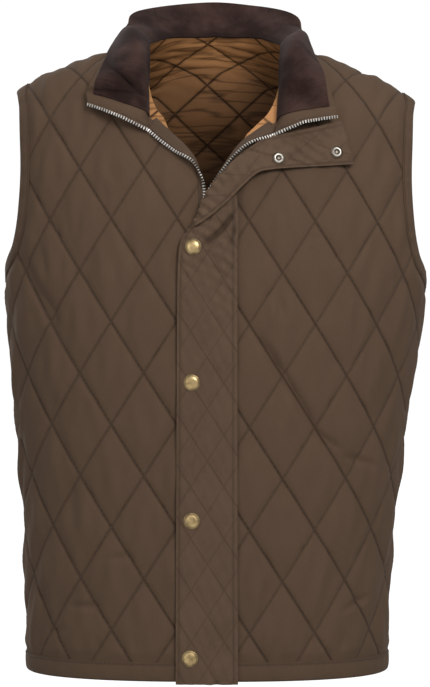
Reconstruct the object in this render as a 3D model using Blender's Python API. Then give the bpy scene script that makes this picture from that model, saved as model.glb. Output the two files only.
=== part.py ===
"""Quilted sleeveless jacket with a corduroy collar, filled out and open at the neck.

Sizes are metres. +X is the wearer's left, -Y the front, +Z up. The origin is the
middle of the neck, at the height where the shoulders meet the collar.
"""

import math
from collections import namedtuple
from functools import lru_cache

import bmesh
import bpy
import numpy as np
from mathutils import Vector
from mathutils.bvhtree import BVHTree
from mathutils.geometry import delaunay_2d_cdt

FRONT = -1.0
BACK = 1.0
RIGHT = -1.0
LEFT = 1.0
SIDE_NAMES = {RIGHT: "right", LEFT: "left"}
TINY = 1e-9
MERGE = 1e-7
SHARP_ANGLE = 50.0

# Cloth thicknesses and gaps
SEAM_GAP = 0.0003
SHELL_WALL = 0.0016
SHELL_LOFT = 0.0034
LINING_DEPTH = 0.0030
LINING_WALL = 0.0012
LINING_LOFT = 0.0016
BAND_OUT = 0.0024
BAND_IN = 0.0058
BAND_CROWN = 0.0006
COLLAR_WALL = 0.0016
FLAP_WALL = 0.0018
TAPE_WALL = 0.0010

# Body form: horizontal sections, measured to the outside of the quilting
Section = namedtuple("Section", "height right_half left_half front_depth back_depth")
SECTIONS = (
    Section(-0.700, 0.208, 0.189, 0.121, 0.110),
    Section(-0.565, 0.208, 0.190, 0.123, 0.112),
    Section(-0.485, 0.211, 0.197, 0.125, 0.115),
    Section(-0.390, 0.219, 0.209, 0.127, 0.118),
    Section(-0.310, 0.226, 0.222, 0.128, 0.121),
    Section(-0.245, 0.230, 0.230, 0.126, 0.123),
    Section(-0.120, 0.231, 0.231, 0.110, 0.120),
    Section(-0.060, 0.231, 0.231, 0.092, 0.108),
)
SECTION_SQUARENESS = 2.4
SECTION_TOP = SECTIONS[-1].height
ANGLES = np.radians(np.linspace(0.0, 100.0, 201))
SEAM_INDEX = 180

# Shoulder line: height of the shoulder seam at each distance from the middle
Crown = namedtuple("Crown", "across right left")
CROWNS = (
    Crown(0.000, 0.055, 0.055),
    Crown(0.050, 0.040, 0.039),
    Crown(0.080, 0.014, 0.011),
    Crown(0.120, 0.000, -0.005),
    Crown(0.150, -0.010, -0.018),
    Crown(0.185, -0.023, -0.032),
    Crown(0.230, -0.048, -0.060),
)
ROLL_HEIGHT = 0.060

# Cut lines
HEM_HEIGHT = -0.666
HEM_BAND = 0.019
ARMHOLE_BAND = 0.0145
NECK_HALF = 0.075
NECK_BACK_HEIGHT = 0.051
LEFT_ARMHOLE_DROP = 0.011
ZIP_ACROSS = -0.0114
EDGE_STEP = 0.020

ArmholeRow = namedtuple("ArmholeRow", "across height")
ARMHOLE = (
    ArmholeRow(0.2160, -0.042),
    ArmholeRow(0.2110, -0.060),
    ArmholeRow(0.2085, -0.092),
    ArmholeRow(0.2070, -0.128),
    ArmholeRow(0.2080, -0.158),
    ArmholeRow(0.2112, -0.190),
    ArmholeRow(0.2175, -0.215),
    ArmholeRow(0.2300, -0.236),
)
ARMHOLE_STATIONS = 14
SHOULDER_STATIONS = 7
NECK_FRONT_STATIONS = 9
NECK_BACK_STATIONS = 17

# Open neck: the turned edge of each front from the zip up to the collar
NeckRow = namedtuple("NeckRow", "across height")
NECK_EDGES = {
    RIGHT: (
        NeckRow(-0.0184, -0.172),
        NeckRow(-0.0190, -0.147),
        NeckRow(-0.0245, -0.1265),
        NeckRow(-0.0340, -0.1140),
        NeckRow(-0.0515, -0.0972),
        NeckRow(-0.0710, -0.0785),
    ),
    LEFT: (
        NeckRow(-0.0044, -0.172),
        NeckRow(-0.0030, -0.158),
        NeckRow(0.0078, -0.139),
        NeckRow(0.0190, -0.1215),
        NeckRow(0.0300, -0.1085),
        NeckRow(0.0450, -0.0972),
        NeckRow(0.0645, -0.0835),
    ),
}
Lip = namedtuple("Lip", "reach power")
NO_LIP = Lip(0.0, 1.0)
LINING_LIPS = {RIGHT: Lip(0.016, 3.0), LEFT: Lip(0.019, 1.2)}
LIP_RISE = 8

# Quilting: one crossing of the lines, the diamond's width and height, steps a side
Quilt = namedtuple("Quilt", "along height width tall steps")
SHELL_QUILTS = {
    RIGHT: Quilt(-0.1090, -0.293, 0.0687, 0.1067, 3),
    LEFT: Quilt(0.1030, -0.296, 0.0687, 0.1067, 3),
}
BACK_QUILT = Quilt(0.0, -0.293, 0.0687, 0.1067, 3)
LINING_QUILT = Quilt(0.0265, -0.058, 0.0730, 0.0660, 2)
QUILT_MARGIN = 0.006
SEAM_FADE = 0.012
FRONT_FADE = 0.032

# Zip tapes: how far the tape is turned out at each height of the front edge
TapeRow = namedtuple("TapeRow", "height turn width")
TAPES = {
    RIGHT: (
        TapeRow(-0.176, 0.0, 0.0062),
        TapeRow(-0.160, 30.0, 0.0070),
        TapeRow(-0.147, 75.0, 0.0090),
        TapeRow(-0.1265, 140.0, 0.0140),
        TapeRow(-0.1140, 176.0, 0.0190),
        TapeRow(-0.0972, 180.0, 0.0215),
        TapeRow(-0.0830, 180.0, 0.0225),
    ),
    LEFT: (
        TapeRow(-0.176, 0.0, 0.0062),
        TapeRow(-0.158, 25.0, 0.0066),
        TapeRow(-0.139, 85.0, 0.0090),
        TapeRow(-0.1215, 112.0, 0.0130),
        TapeRow(-0.1085, 122.0, 0.0160),
        TapeRow(-0.0972, 145.0, 0.0195),
        TapeRow(-0.0875, 178.0, 0.0225),
    ),
}
TAPE_ROLL = 0.0034
TAPE_STEPS = 4
TAPE_TOP_SLANT = 0.007
TAPE_ROWS_BELOW = 13
TAPE_REACH = 0.004

# Collar: its free edge, by how far round the neck seam each row is
CollarRow = namedtuple("CollarRow", "station across depth height")
COLLAR_EDGE = (
    CollarRow(0.00, -0.1295, -0.0910, -0.0545),
    CollarRow(0.09, -0.1250, -0.0870, -0.0385),
    CollarRow(0.18, -0.1135, -0.0400, -0.0010),
    CollarRow(0.27, -0.1060, 0.0000, 0.0165),
    CollarRow(0.36, -0.0970, 0.0420, 0.0355),
    CollarRow(0.42, -0.0870, 0.0720, 0.0550),
    CollarRow(0.46, -0.0500, 0.0920, 0.0640),
    CollarRow(0.50, 0.0000, 0.0990, 0.0680),
    CollarRow(0.54, 0.0480, 0.0930, 0.0625),
    CollarRow(0.58, 0.0845, 0.0700, 0.0515),
    CollarRow(0.64, 0.0945, 0.0420, 0.0305),
    CollarRow(0.73, 0.1010, 0.0000, 0.0095),
    CollarRow(0.82, 0.1060, -0.0560, -0.0120),
    CollarRow(0.91, 0.1145, -0.0920, -0.0430),
    CollarRow(1.00, 0.1190, -0.0990, -0.0690),
)
COLLAR_STATIONS = 32
COLLAR_STEPS = 4
COLLAR_STAND = 0.022
COLLAR_SEAM_LIFT = 0.0050
COLLAR_FACING_SHARE = 0.95
ZIP_FACING_AT_SEAM = {RIGHT: (-0.004, -0.009, -0.0185), LEFT: (0.0045, -0.008, -0.0130)}
ZIP_FACING_AT_EDGE = {RIGHT: (-0.0047, -0.002, -0.0110), LEFT: (0.0070, -0.002, -0.0105)}

# Storm flap: seam, fold and free edge of each section, and its height off the front
FlapRow = namedtuple("FlapRow", "seam_x seam_z fold_x fold_z free_x free_z lift")
FLAP = (
    FlapRow(0.0225, -0.6680, -0.0413, -0.6680, -0.0413, -0.6680, 0.0060),
    FlapRow(0.0220, -0.5600, -0.0410, -0.5600, -0.0410, -0.5600, 0.0060),
    FlapRow(0.0218, -0.4500, -0.0405, -0.4500, -0.0405, -0.4500, 0.0060),
    FlapRow(0.0217, -0.3400, -0.0400, -0.3400, -0.0400, -0.3400, 0.0062),
    FlapRow(0.0217, -0.2600, -0.0395, -0.2600, -0.0395, -0.2600, 0.0070),
    FlapRow(0.0218, -0.2150, -0.0370, -0.2150, -0.0370, -0.2150, 0.0086),
    FlapRow(0.0224, -0.2000, -0.0290, -0.2000, -0.0280, -0.2010, 0.0095),
    FlapRow(0.0224, -0.1850, -0.0205, -0.1860, -0.0150, -0.1930, 0.0100),
    FlapRow(0.0218, -0.1700, -0.0120, -0.1700, 0.0005, -0.1815, 0.0100),
    FlapRow(0.0204, -0.1560, 0.0004, -0.1560, 0.0145, -0.1690, 0.0095),
    FlapRow(0.0210, -0.1440, 0.0110, -0.1396, 0.0285, -0.1545, 0.0090),
    FlapRow(0.0265, -0.1285, 0.0216, -0.1258, 0.0430, -0.1420, 0.0085),
    FlapRow(0.0385, -0.1140, 0.0368, -0.1134, 0.0590, -0.1375, 0.0082),
    FlapRow(0.0530, -0.1035, 0.0525, -0.1030, 0.0780, -0.1355, 0.0080),
    FlapRow(0.0740, -0.0990, 0.0738, -0.0988, 0.0965, -0.1342, 0.0080),
    FlapRow(0.1010, -0.0930, 0.1009, -0.0928, 0.1190, -0.1325, 0.0080),
    FlapRow(0.1300, -0.0850, 0.1300, -0.0848, 0.1410, -0.1306, 0.0080),
)
FLAP_FOLD = 0.0026
FLAP_FOLD_EASE = 0.006
FLAP_FOLD_RUN = 0.008
FLAP_COLUMNS = 9
FLAP_ROWS_BETWEEN = 2

# Snaps and zip slider
SnapPlace = namedtuple("SnapPlace", "name across height")
SNAP_CAPS = (
    SnapPlace("snap_cap_top", -0.0232, -0.2170),
    SnapPlace("snap_cap_upper", -0.0248, -0.3560),
    SnapPlace("snap_cap_lower", -0.0250, -0.4985),
    SnapPlace("snap_cap_bottom", -0.0268, -0.6410),
)
SNAP_SOCKETS = (
    SnapPlace("snap_socket_lower", 0.0640, -0.1262),
    SnapPlace("snap_socket_upper", 0.1235, -0.1187),
)
ProfileRow = namedtuple("ProfileRow", "radius height")
CAP_PROFILE = (
    ProfileRow(0.0, 0.0),
    ProfileRow(0.0076, 0.0),
    ProfileRow(0.0083, 0.0008),
    ProfileRow(0.0071, 0.0022),
    ProfileRow(0.0042, 0.0032),
    ProfileRow(0.0, 0.0034),
)
SOCKET_PROFILE = (
    ProfileRow(0.0, 0.0),
    ProfileRow(0.0060, 0.0),
    ProfileRow(0.0060, 0.0011),
    ProfileRow(0.0048, 0.0022),
    ProfileRow(0.0028, 0.0022),
    ProfileRow(0.0022, 0.0010),
    ProfileRow(0.0, 0.0010),
)
SNAP_SIDES = 18
SNAP_SEARCH = 0.050
SLIDER_HEIGHT = -0.180
SLIDER_LIFT = (0.0016, 0.0042)
PULL_LIFT = (0.0046, 0.0058)
PlateRow = namedtuple("PlateRow", "across height")
SLIDER_OUTLINE = (
    PlateRow(-0.0046, 0.0060),
    PlateRow(-0.0025, -0.0060),
    PlateRow(0.0025, -0.0060),
    PlateRow(0.0046, 0.0060),
)
PULL_OUTLINE = (
    PlateRow(-0.0018, 0.0030),
    PlateRow(-0.0030, -0.0039),
    PlateRow(-0.0030, -0.0170),
    PlateRow(-0.0015, -0.0200),
    PlateRow(0.0015, -0.0200),
    PlateRow(0.0030, -0.0170),
    PlateRow(0.0030, -0.0039),
    PlateRow(0.0018, 0.0030),
)

SHELL_BROWN = (0.092, 0.058, 0.037, 1.0)
FLAP_BROWN = (0.096, 0.062, 0.040, 1.0)
CORD_BROWN = (0.031, 0.020, 0.018, 1.0)
LINING_TAN = (0.262, 0.130, 0.040, 1.0)
TAPE_BROWN = (0.060, 0.042, 0.030, 1.0)
BRASS = (0.400, 0.260, 0.110, 1.0)
STEEL = (0.560, 0.560, 0.550, 1.0)


def smooth(value, knots, values):
    """Value of a smooth curve through a table's column."""
    knots = np.asarray(knots, dtype=float)
    values = np.asarray(values, dtype=float)
    slopes = np.gradient(values, knots)
    value = min(max(value, knots[0]), knots[-1])
    low = min(int(np.searchsorted(knots, value, side="right")) - 1, len(knots) - 2)
    step = knots[low + 1] - knots[low]
    part = (value - knots[low]) / step
    rest = 1.0 - part
    rise = part * part * (3.0 - 2.0 * part)
    bends = slopes[low] * part * rest * rest - slopes[low + 1] * part * part * rest
    return values[low] * (1.0 - rise) + values[low + 1] * rise + step * bends


def column(rows, name):
    """One named column of a table."""
    return [getattr(row, name) for row in rows]


def smooth_step(value):
    """Ease from 0 to 1."""
    value = min(max(value, 0.0), 1.0)
    return value * value * (3.0 - 2.0 * value)


@lru_cache(maxsize=None)
def section_profile(face, side, height):
    """Half a horizontal section, from the middle round past the side seam."""
    heights = column(SECTIONS, "height")
    half_name = "right_half" if side == RIGHT else "left_half"
    depth_name = "front_depth" if face == FRONT else "back_depth"
    half = smooth(height, heights, column(SECTIONS, half_name)) - SHELL_WALL - SHELL_LOFT
    depth = smooth(height, heights, column(SECTIONS, depth_name)) - SHELL_WALL - SHELL_LOFT
    power = 2.0 / SECTION_SQUARENESS
    across = half * np.abs(np.sin(ANGLES)) ** power
    out = depth * np.sign(np.cos(ANGLES)) * np.abs(np.cos(ANGLES)) ** power
    arc = np.concatenate(([0.0], np.cumsum(np.hypot(np.diff(across), np.diff(out)))))
    return across, out, arc


def profile_at(face, across_or_along, height):
    """Section half on the side that a signed distance from the middle names."""
    side = LEFT if across_or_along >= 0.0 else RIGHT
    return side, section_profile(face, side, round(min(height, SECTION_TOP), 4))


def arc_at(face, x, height):
    """Signed distance round the section to the point at x."""
    side, (across, _, arc) = profile_at(face, x, height)
    return side * np.interp(abs(x), across[: SEAM_INDEX + 1], arc[: SEAM_INDEX + 1])


def side_arc(face, side, height):
    """Signed distance round the section to the side seam."""
    return side * profile_at(face, side, height)[1][2][SEAM_INDEX]


def crown(x):
    """Height of the shoulder line at x, under the quilting."""
    name = "left" if x >= 0.0 else "right"
    return smooth(abs(x), column(CROWNS, "across"), column(CROWNS, name)) - SHELL_WALL - SHELL_LOFT


def roll_start(x):
    """Height where the cloth starts to turn over the shoulder."""
    return crown(x) - ROLL_HEIGHT


def roll_length(face, x):
    """Length of cloth from the start of the turn to the shoulder line."""
    _, (across, out, _) = profile_at(face, x, SECTION_TOP)
    depth = np.interp(abs(x), across[: SEAM_INDEX + 1], out[: SEAM_INDEX + 1])
    return 0.5 * math.pi * math.sqrt(0.5 * (ROLL_HEIGHT ** 2 + depth ** 2))


def cloth_height(face, x, z):
    """Distance up the cloth of the point at x and true height z."""
    start = roll_start(x)
    if z <= start:
        return z
    turn = math.asin(min((z - start) / ROLL_HEIGHT, 1.0))
    return start + roll_length(face, x) * turn / (0.5 * math.pi)


def ridge_point(face, x):
    """Pattern point on the shoulder seam at x."""
    return arc_at(face, x, SECTION_TOP), roll_start(x) + roll_length(face, x)


def body_point(face, along, height):
    """Point of the body form at a pattern point."""
    side, (across, out, arc) = profile_at(face, along, height)
    x = side * np.interp(abs(along), arc, across)
    y = face * np.interp(abs(along), arc, out)
    start = roll_start(x)
    if height <= start:
        return np.array((x, y, height))
    turn = 0.5 * math.pi * (height - start) / roll_length(face, x)
    return np.array((x, y * math.cos(turn), start + ROLL_HEIGHT * math.sin(turn)))


def body_normal(face, along, height, reach=0.002):
    """Outward direction of the body form at a pattern point."""
    sideways = body_point(face, along + reach, height) - body_point(face, along - reach, height)
    upward = body_point(face, along, height + reach) - body_point(face, along, height - reach)
    normal = -face * np.cross(sideways, upward)
    return normal / np.linalg.norm(normal)


def lifted(face, along, height, lift):
    """Point at a height above the body form."""
    return body_point(face, along, height) + lift * body_normal(face, along, height)


def front_lifted(x, z, lift):
    """Point above the front at a place given by its front view."""
    return lifted(FRONT, arc_at(FRONT, x, z), cloth_height(FRONT, x, z), lift)


def resample(points, step):
    """Points along an open line, no further apart than a step."""
    points = [np.asarray(point, dtype=float) for point in points]
    line = [points[0]]
    for start, end in zip(points, points[1:]):
        count = max(1, math.ceil(np.linalg.norm(end - start) / step))
        line.extend(start + (end - start) * k / count for k in range(1, count + 1))
    return line


def even_line(points, count):
    """A number of points spaced evenly along a line."""
    points = np.asarray(points, dtype=float)
    lengths = np.concatenate(([0.0], np.cumsum(np.linalg.norm(np.diff(points, axis=0), axis=1))))
    places = np.linspace(0.0, lengths[-1], count)
    return np.stack([np.interp(places, lengths, points[:, k]) for k in range(points.shape[1])], axis=1)


def armhole_line(face, side, inset):
    """Pattern line at a distance in from the armhole, from shoulder to underarm."""
    drop = LEFT_ARMHOLE_DROP if side == LEFT else 0.0
    rows = range(len(ARMHOLE))
    line = []
    for place in np.linspace(0.0, len(ARMHOLE) - 1.0, ARMHOLE_STATIONS):
        x = side * smooth(place, rows, column(ARMHOLE, "across"))
        z = smooth(place, rows, column(ARMHOLE, "height")) - drop
        line.append(np.array((arc_at(face, x, z), cloth_height(face, x, z))))
    points = [np.array(ridge_point(face, side * (ARMHOLE[0].across - inset)))]
    for before, here, after in zip(line, line[1:], line[2:]):
        run = (after - before) / np.linalg.norm(after - before)
        points.append(here + inset * np.array((run[1], -run[0])) * side)
    low = ARMHOLE[-1].height - drop - inset
    points.append(np.array((side_arc(face, side, low), low)))
    return points


def side_seam(face, side, low, high, inset):
    """Pattern line up the side seam."""
    heights = np.linspace(low, high, max(2, int((high - low) / EDGE_STEP)))
    return [np.array((side_arc(face, side, h) - side * inset, h)) for h in heights]


def shoulder_line(face, side, inner, outer):
    """Pattern line along the shoulder seam from the armhole towards the neck."""
    lines = []
    for x in np.linspace(outer, inner, SHOULDER_STATIONS):
        along, height = ridge_point(face, side * x)
        lines.append(np.array((along, height - SEAM_GAP)))
    return lines


def neck_edge(side, lip):
    """Pattern line up the turned front edge, its upper half carried into the opening by a lip."""
    rows = NECK_EDGES[side]
    points = []
    for row, share in zip(rows, np.linspace(-1.0, 1.0, len(rows))):
        x = row.across - side * lip.reach * smooth_step(share) ** lip.power
        points.append(np.array((arc_at(FRONT, x, row.height), row.height)))
    return points


def front_neck(side, inset, lip=NO_LIP):
    """Pattern line from the shoulder down the side of the neck to the turned edge and its lip."""
    top = NECK_EDGES[side][-1]
    ridge_height = ridge_point(FRONT, side * (NECK_HALF + inset))[1]
    points = []
    for share in np.linspace(0.0, 1.0, NECK_FRONT_STATIONS):
        half = NECK_HALF + (abs(top.across) - NECK_HALF) * share + inset - lip.reach * share ** LIP_RISE
        height = ridge_height - SEAM_GAP + (top.height - ridge_height) * share
        points.append(np.array((arc_at(FRONT, side * half, height), height)))
    return points


def back_neck(inset):
    """Pattern line round the back of the neck from left to right."""
    points = []
    for turn in np.linspace(0.0, math.pi, NECK_BACK_STATIONS):
        x = (NECK_HALF + inset) * math.cos(turn)
        peak = ridge_point(BACK, math.copysign(NECK_HALF + inset, x))[1] - SEAM_GAP
        height = peak + (NECK_BACK_HEIGHT - inset - peak) * math.sin(turn)
        points.append(np.array((arc_at(BACK, x, height), height)))
    return points


def front_outline(side, seam_inset, band_inset, neck_inset, lip):
    """Closed pattern outline of one front."""
    low = HEM_HEIGHT + HEM_BAND + band_inset
    armhole = armhole_line(FRONT, side, ARMHOLE_BAND + band_inset)
    armhole[-1] = armhole[-1] - np.array((side * seam_inset, 0.0))
    edge = neck_edge(side, lip)
    edge_x = NECK_EDGES[side][0].across
    hem_start = np.array((arc_at(FRONT, edge_x, low), low))
    hem_end = np.array((side_arc(FRONT, side, low) - side * seam_inset, low))
    points = resample([hem_start, hem_end], EDGE_STEP)
    points += side_seam(FRONT, side, low, armhole[-1][1], seam_inset)[1:-1]
    points += armhole[::-1]
    points[-1] = points[-1] - np.array((0.0, SEAM_GAP))
    outer = ARMHOLE[0].across - ARMHOLE_BAND - band_inset
    points += shoulder_line(FRONT, side, NECK_HALF + neck_inset, outer)[1:]
    points += front_neck(side, neck_inset, lip)[1:-1]
    points += resample(edge[::-1], EDGE_STEP)
    points += resample([edge[0], hem_start], EDGE_STEP)[1:-1]
    return points if side == LEFT else points[::-1]


def back_outline(seam_inset, band_inset, neck_inset):
    """Closed pattern outline of the back."""
    low = HEM_HEIGHT + HEM_BAND + band_inset
    hem = [np.array((side_arc(BACK, side, low) - side * seam_inset, low)) for side in (RIGHT, LEFT)]
    points = resample(hem, EDGE_STEP)
    halves = {}
    for side in (LEFT, RIGHT):
        armhole = armhole_line(BACK, side, ARMHOLE_BAND + band_inset)
        armhole[-1] = armhole[-1] - np.array((side * seam_inset, 0.0))
        half = side_seam(BACK, side, low, armhole[-1][1], seam_inset)[1:-1]
        half += armhole[::-1]
        half[-1] = half[-1] - np.array((0.0, SEAM_GAP))
        outer = ARMHOLE[0].across - ARMHOLE_BAND - band_inset
        half += shoulder_line(BACK, side, NECK_HALF + neck_inset, outer)[1:-1]
        halves[side] = half
    return points + halves[LEFT] + back_neck(neck_inset) + halves[RIGHT][::-1]


def line_distance(point, line, closed):
    """Distance from a pattern point to a line."""
    starts = np.asarray(line)
    ends = np.roll(starts, -1, axis=0)
    if not closed:
        starts, ends = starts[:-1], ends[:-1]
    runs = ends - starts
    lengths = np.maximum(np.einsum("ij,ij->i", runs, runs), TINY ** 2)
    shares = np.einsum("ij,ij->i", point - starts, runs) / lengths
    nearest = starts + runs * np.clip(shares, 0.0, 1.0)[:, None]
    return float(np.min(np.linalg.norm(nearest - point, axis=1)))


def inside(point, outline):
    """Whether a pattern point lies in a closed outline."""
    crossings = 0
    for start, end in zip(outline, outline[1:] + outline[:1]):
        if (start[1] > point[1]) != (end[1] > point[1]):
            share = (point[1] - start[1]) / (end[1] - start[1])
            crossings += point[0] < start[0] + share * (end[0] - start[0])
    return crossings % 2 == 1


def quilt_points(quilt, outline):
    """Pattern points on and between the quilting lines inside an outline."""
    centre = np.array((quilt.along, quilt.height))
    half = 0.5 * np.array((quilt.width, quilt.tall)) / quilt.steps
    first = np.floor((np.min(outline, axis=0) - centre) / half).astype(int)
    last = np.ceil((np.max(outline, axis=0) - centre) / half).astype(int)
    points = []
    for across in range(first[0], last[0] + 1):
        for up in range(first[1], last[1] + 1):
            point = centre + half * (across, up)
            if (across + up) % 2 == 0 and inside(point, outline):
                if line_distance(point, outline, True) > QUILT_MARGIN:
                    points.append(point)
    return points


def puff(quilt, point):
    """Fullness of the quilting at a pattern point: 0 on its lines, 1 between them."""
    across = (point[0] - quilt.along) / quilt.width
    up = (point[1] - quilt.height) / quilt.tall
    swell = abs(math.sin(math.pi * (across + up)) * math.sin(math.pi * (across - up)))
    return math.sqrt(swell)


def finish_solid(name, vertices, faces, material):
    """Make a named closed solid with its faces pointing out."""
    mesh = bpy.data.meshes.new(name)
    mesh.from_pydata([tuple(vertex) for vertex in vertices], [], faces)
    work = bmesh.new()
    work.from_mesh(mesh)
    bmesh.ops.triangulate(work, faces=work.faces)
    bmesh.ops.recalc_face_normals(work, faces=work.faces)
    work.to_mesh(mesh)
    work.free()
    mesh.shade_smooth()
    mesh.set_sharp_from_angle(angle=math.radians(SHARP_ANGLE))
    mesh.materials.append(material)
    solid = bpy.data.objects.new(name, mesh)
    bpy.context.scene.collection.objects.link(solid)
    return solid


def cut_panel(outline, quilt):
    """Pattern points of a panel cut to its outline, and the triangles between them."""
    flat = outline + quilt_points(quilt, outline)
    ring = [(k, (k + 1) % len(outline)) for k in range(len(outline))]
    spots, _, triangles, _, _, _ = delaunay_2d_cdt([tuple(point) for point in flat], ring, [], 1, MERGE)
    return [np.array(spot) for spot in spots], [tuple(triangle) for triangle in triangles]


def panel_wall(name, face, panel, lows, highs, material):
    """Lay a cut panel on the body form as a wall between two heights at each point."""
    spots, triangles = panel
    under = [lifted(face, *spot, low) for spot, low in zip(spots, lows)]
    over = [lifted(face, *spot, high) for spot, high in zip(spots, highs)]
    count = len(spots)
    sides = set()
    for triangle in triangles:
        sides.update(zip(triangle, triangle[1:] + triangle[:1]))
    rim = sorted(pair for pair in sides if pair[::-1] not in sides)
    faces = triangles + [tuple(k + count for k in reversed(triangle)) for triangle in triangles]
    faces += [(end, start, start + count, end + count) for start, end in rim]
    return finish_solid(name, over + under, faces, material)


def grid_wall(name, outer, inner, material, looped=False):
    """Closed wall between two grids of points with the same rows and columns."""
    outer = np.asarray(outer)
    rows, columns = outer.shape[:2]
    over = np.arange(rows * columns).reshape(rows, columns)
    if looped:
        over = np.concatenate((over, over[:1]))
    under = over + rows * columns
    faces = []
    for row in range(len(over) - 1):
        for place in range(columns - 1):
            corners = ((row, place), (row + 1, place), (row + 1, place + 1), (row, place + 1))
            faces.append([int(over[corner]) for corner in corners])
            faces.append([int(under[corner]) for corner in reversed(corners)])
    rims = [(over[:, place], under[:, place]) for place in (0, -1)]
    if not looped:
        rims += [(over[row], under[row]) for row in (0, -1)]
    for high, low in rims:
        for k in range(len(high) - 1):
            faces.append([int(spot) for spot in (high[k], low[k], low[k + 1], high[k + 1])])
    vertices = np.concatenate((outer.reshape(-1, 3), np.reshape(inner, (-1, 3))))
    return finish_solid(name, vertices, faces, material)


def grid_normals(grid):
    """Unit directions square to a grid of points."""
    along = np.gradient(grid, axis=0)
    across = np.gradient(grid, axis=1)
    normals = np.cross(along, across)
    return normals / np.linalg.norm(normals, axis=2, keepdims=True)


def turned_solid(name, profile, centre, axis, material):
    """Round solid from a profile of radii and heights, first and last on the axis."""
    side = np.cross(axis, (0.0, 0.0, 1.0))
    side = side / np.linalg.norm(side)
    other = np.cross(axis, side)
    vertices = [centre + profile[0][1] * axis]
    for radius, height in profile[1:-1]:
        for k in range(SNAP_SIDES):
            turn = 2.0 * math.pi * k / SNAP_SIDES
            outward = math.cos(turn) * side + math.sin(turn) * other
            vertices.append(centre + height * axis + radius * outward)
    vertices.append(centre + profile[-1][1] * axis)
    rings = len(profile) - 2
    faces = []
    for k in range(SNAP_SIDES):
        after = (k + 1) % SNAP_SIDES
        faces.append((0, 1 + after, 1 + k))
        last = 1 + (rings - 1) * SNAP_SIDES
        faces.append((len(vertices) - 1, last + k, last + after))
        for ring in range(rings - 1):
            low = 1 + ring * SNAP_SIDES
            high = low + SNAP_SIDES
            faces.append((low + k, low + after, high + after, high + k))
    return finish_solid(name, vertices, faces, material)


def plate(name, outline, lifts, material):
    """Flat plate over the zip, from its front view outline and its two heights."""
    centre = front_lifted(ZIP_ACROSS, SLIDER_HEIGHT, 0.0)
    layers = []
    for lift in lifts:
        layers.append([centre + np.array((x, -lift, z)) for x, z in outline])
    count = len(outline)
    faces = [tuple(range(count)), tuple(range(2 * count - 1, count - 1, -1))]
    faces += [(k, (k + 1) % count, count + (k + 1) % count, count + k) for k in range(count)]
    return finish_solid(name, layers[0] + layers[1], faces, material)


def material(name, colour, roughness, metallic=0.0):
    """Plain finish for one kind of cloth or metal."""
    finish = bpy.data.materials.new(name)
    finish.use_nodes = True
    shader = finish.node_tree.nodes["Principled BSDF"]
    shader.inputs["Base Color"].default_value = colour
    shader.inputs["Roughness"].default_value = roughness
    shader.inputs["Metallic"].default_value = metallic
    return finish


def front_line(side):
    """Pattern line of a front's whole free edge."""
    rows = NECK_EDGES[side]
    start = np.array((arc_at(FRONT, rows[0].across, HEM_HEIGHT), HEM_HEIGHT))
    return [start] + neck_edge(side, NO_LIP)


def seam_fullness(spot, outline):
    """Share of the wadding's fullness left near a panel's sewn edge."""
    return smooth_step(line_distance(spot, outline, True) / SEAM_FADE)


def build_shell(cloth):
    """Quilted fronts and back."""
    for side in (RIGHT, LEFT):
        quilt = SHELL_QUILTS[side]
        outline = front_outline(side, SEAM_GAP, SEAM_GAP, 0.0, NO_LIP)
        panel = cut_panel(outline, quilt)
        edge = front_line(side)
        highs = []
        for spot in panel[0]:
            flat = smooth_step(line_distance(spot, edge, False) / FRONT_FADE)
            fullness = min(seam_fullness(spot, outline), flat)
            highs.append(SHELL_WALL + SHELL_LOFT * puff(quilt, spot) * fullness)
        panel_wall("front_" + SIDE_NAMES[side], FRONT, panel, [0.0] * len(highs), highs, cloth)
    outline = back_outline(SEAM_GAP, SEAM_GAP, 0.0)
    panel = cut_panel(outline, BACK_QUILT)
    highs = []
    for spot in panel[0]:
        highs.append(SHELL_WALL + SHELL_LOFT * puff(BACK_QUILT, spot) * seam_fullness(spot, outline))
    panel_wall("back", BACK, panel, [0.0] * len(highs), highs, cloth)


def build_lining(cloth):
    """Quilted lining behind the fronts and the back."""
    inset = LINING_DEPTH + LINING_WALL + LINING_LOFT
    pieces = [("lining_back", BACK, back_outline(inset, SEAM_GAP, inset))]
    for side in (RIGHT, LEFT):
        outline = front_outline(side, inset, SEAM_GAP, inset, LINING_LIPS[side])
        pieces.append(("lining_front_" + SIDE_NAMES[side], FRONT, outline))
    for name, face, outline in pieces:
        panel = cut_panel(outline, LINING_QUILT)
        lows = []
        for spot in panel[0]:
            fullness = puff(LINING_QUILT, spot) * seam_fullness(spot, outline)
            lows.append(-LINING_DEPTH - LINING_WALL - LINING_LOFT * fullness)
        panel_wall(name, face, panel, lows, [-LINING_DEPTH] * len(lows), cloth)


def band_grid(face, lines, lift, crowned):
    """Points of a band that runs along pattern lines, a little fuller in its middle."""
    rows = []
    for spots in zip(*lines):
        row = []
        for k, spot in enumerate(spots):
            extra = crowned if 0 < k < len(spots) - 1 else 0.0
            row.append(lifted(face, spot[0], spot[1], lift + extra))
        rows.append(row)
    return rows


def build_armhole_bands(cloth):
    """Band round each armhole, over the edges of shell and lining."""
    insets = (0.0, 0.5 * ARMHOLE_BAND, ARMHOLE_BAND - SEAM_GAP)
    for side in (RIGHT, LEFT):
        layers = []
        for lift, crowned in ((BAND_OUT, BAND_CROWN), (-BAND_IN, 0.0)):
            front = band_grid(FRONT, [armhole_line(FRONT, side, inset) for inset in insets], lift, crowned)
            back = band_grid(BACK, [armhole_line(BACK, side, inset) for inset in insets], lift, crowned)
            layers.append(front + back[::-1][1:-1])
        grid_wall("armhole_band_" + SIDE_NAMES[side], layers[0], layers[1], cloth, looped=True)


def hem_line(start, end, height):
    """Pattern line along the hem between two signed distances."""
    count = max(2, math.ceil(abs(end - start) / EDGE_STEP)) + 1
    return [np.array((along, height)) for along in np.linspace(start, end, count)]


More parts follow.
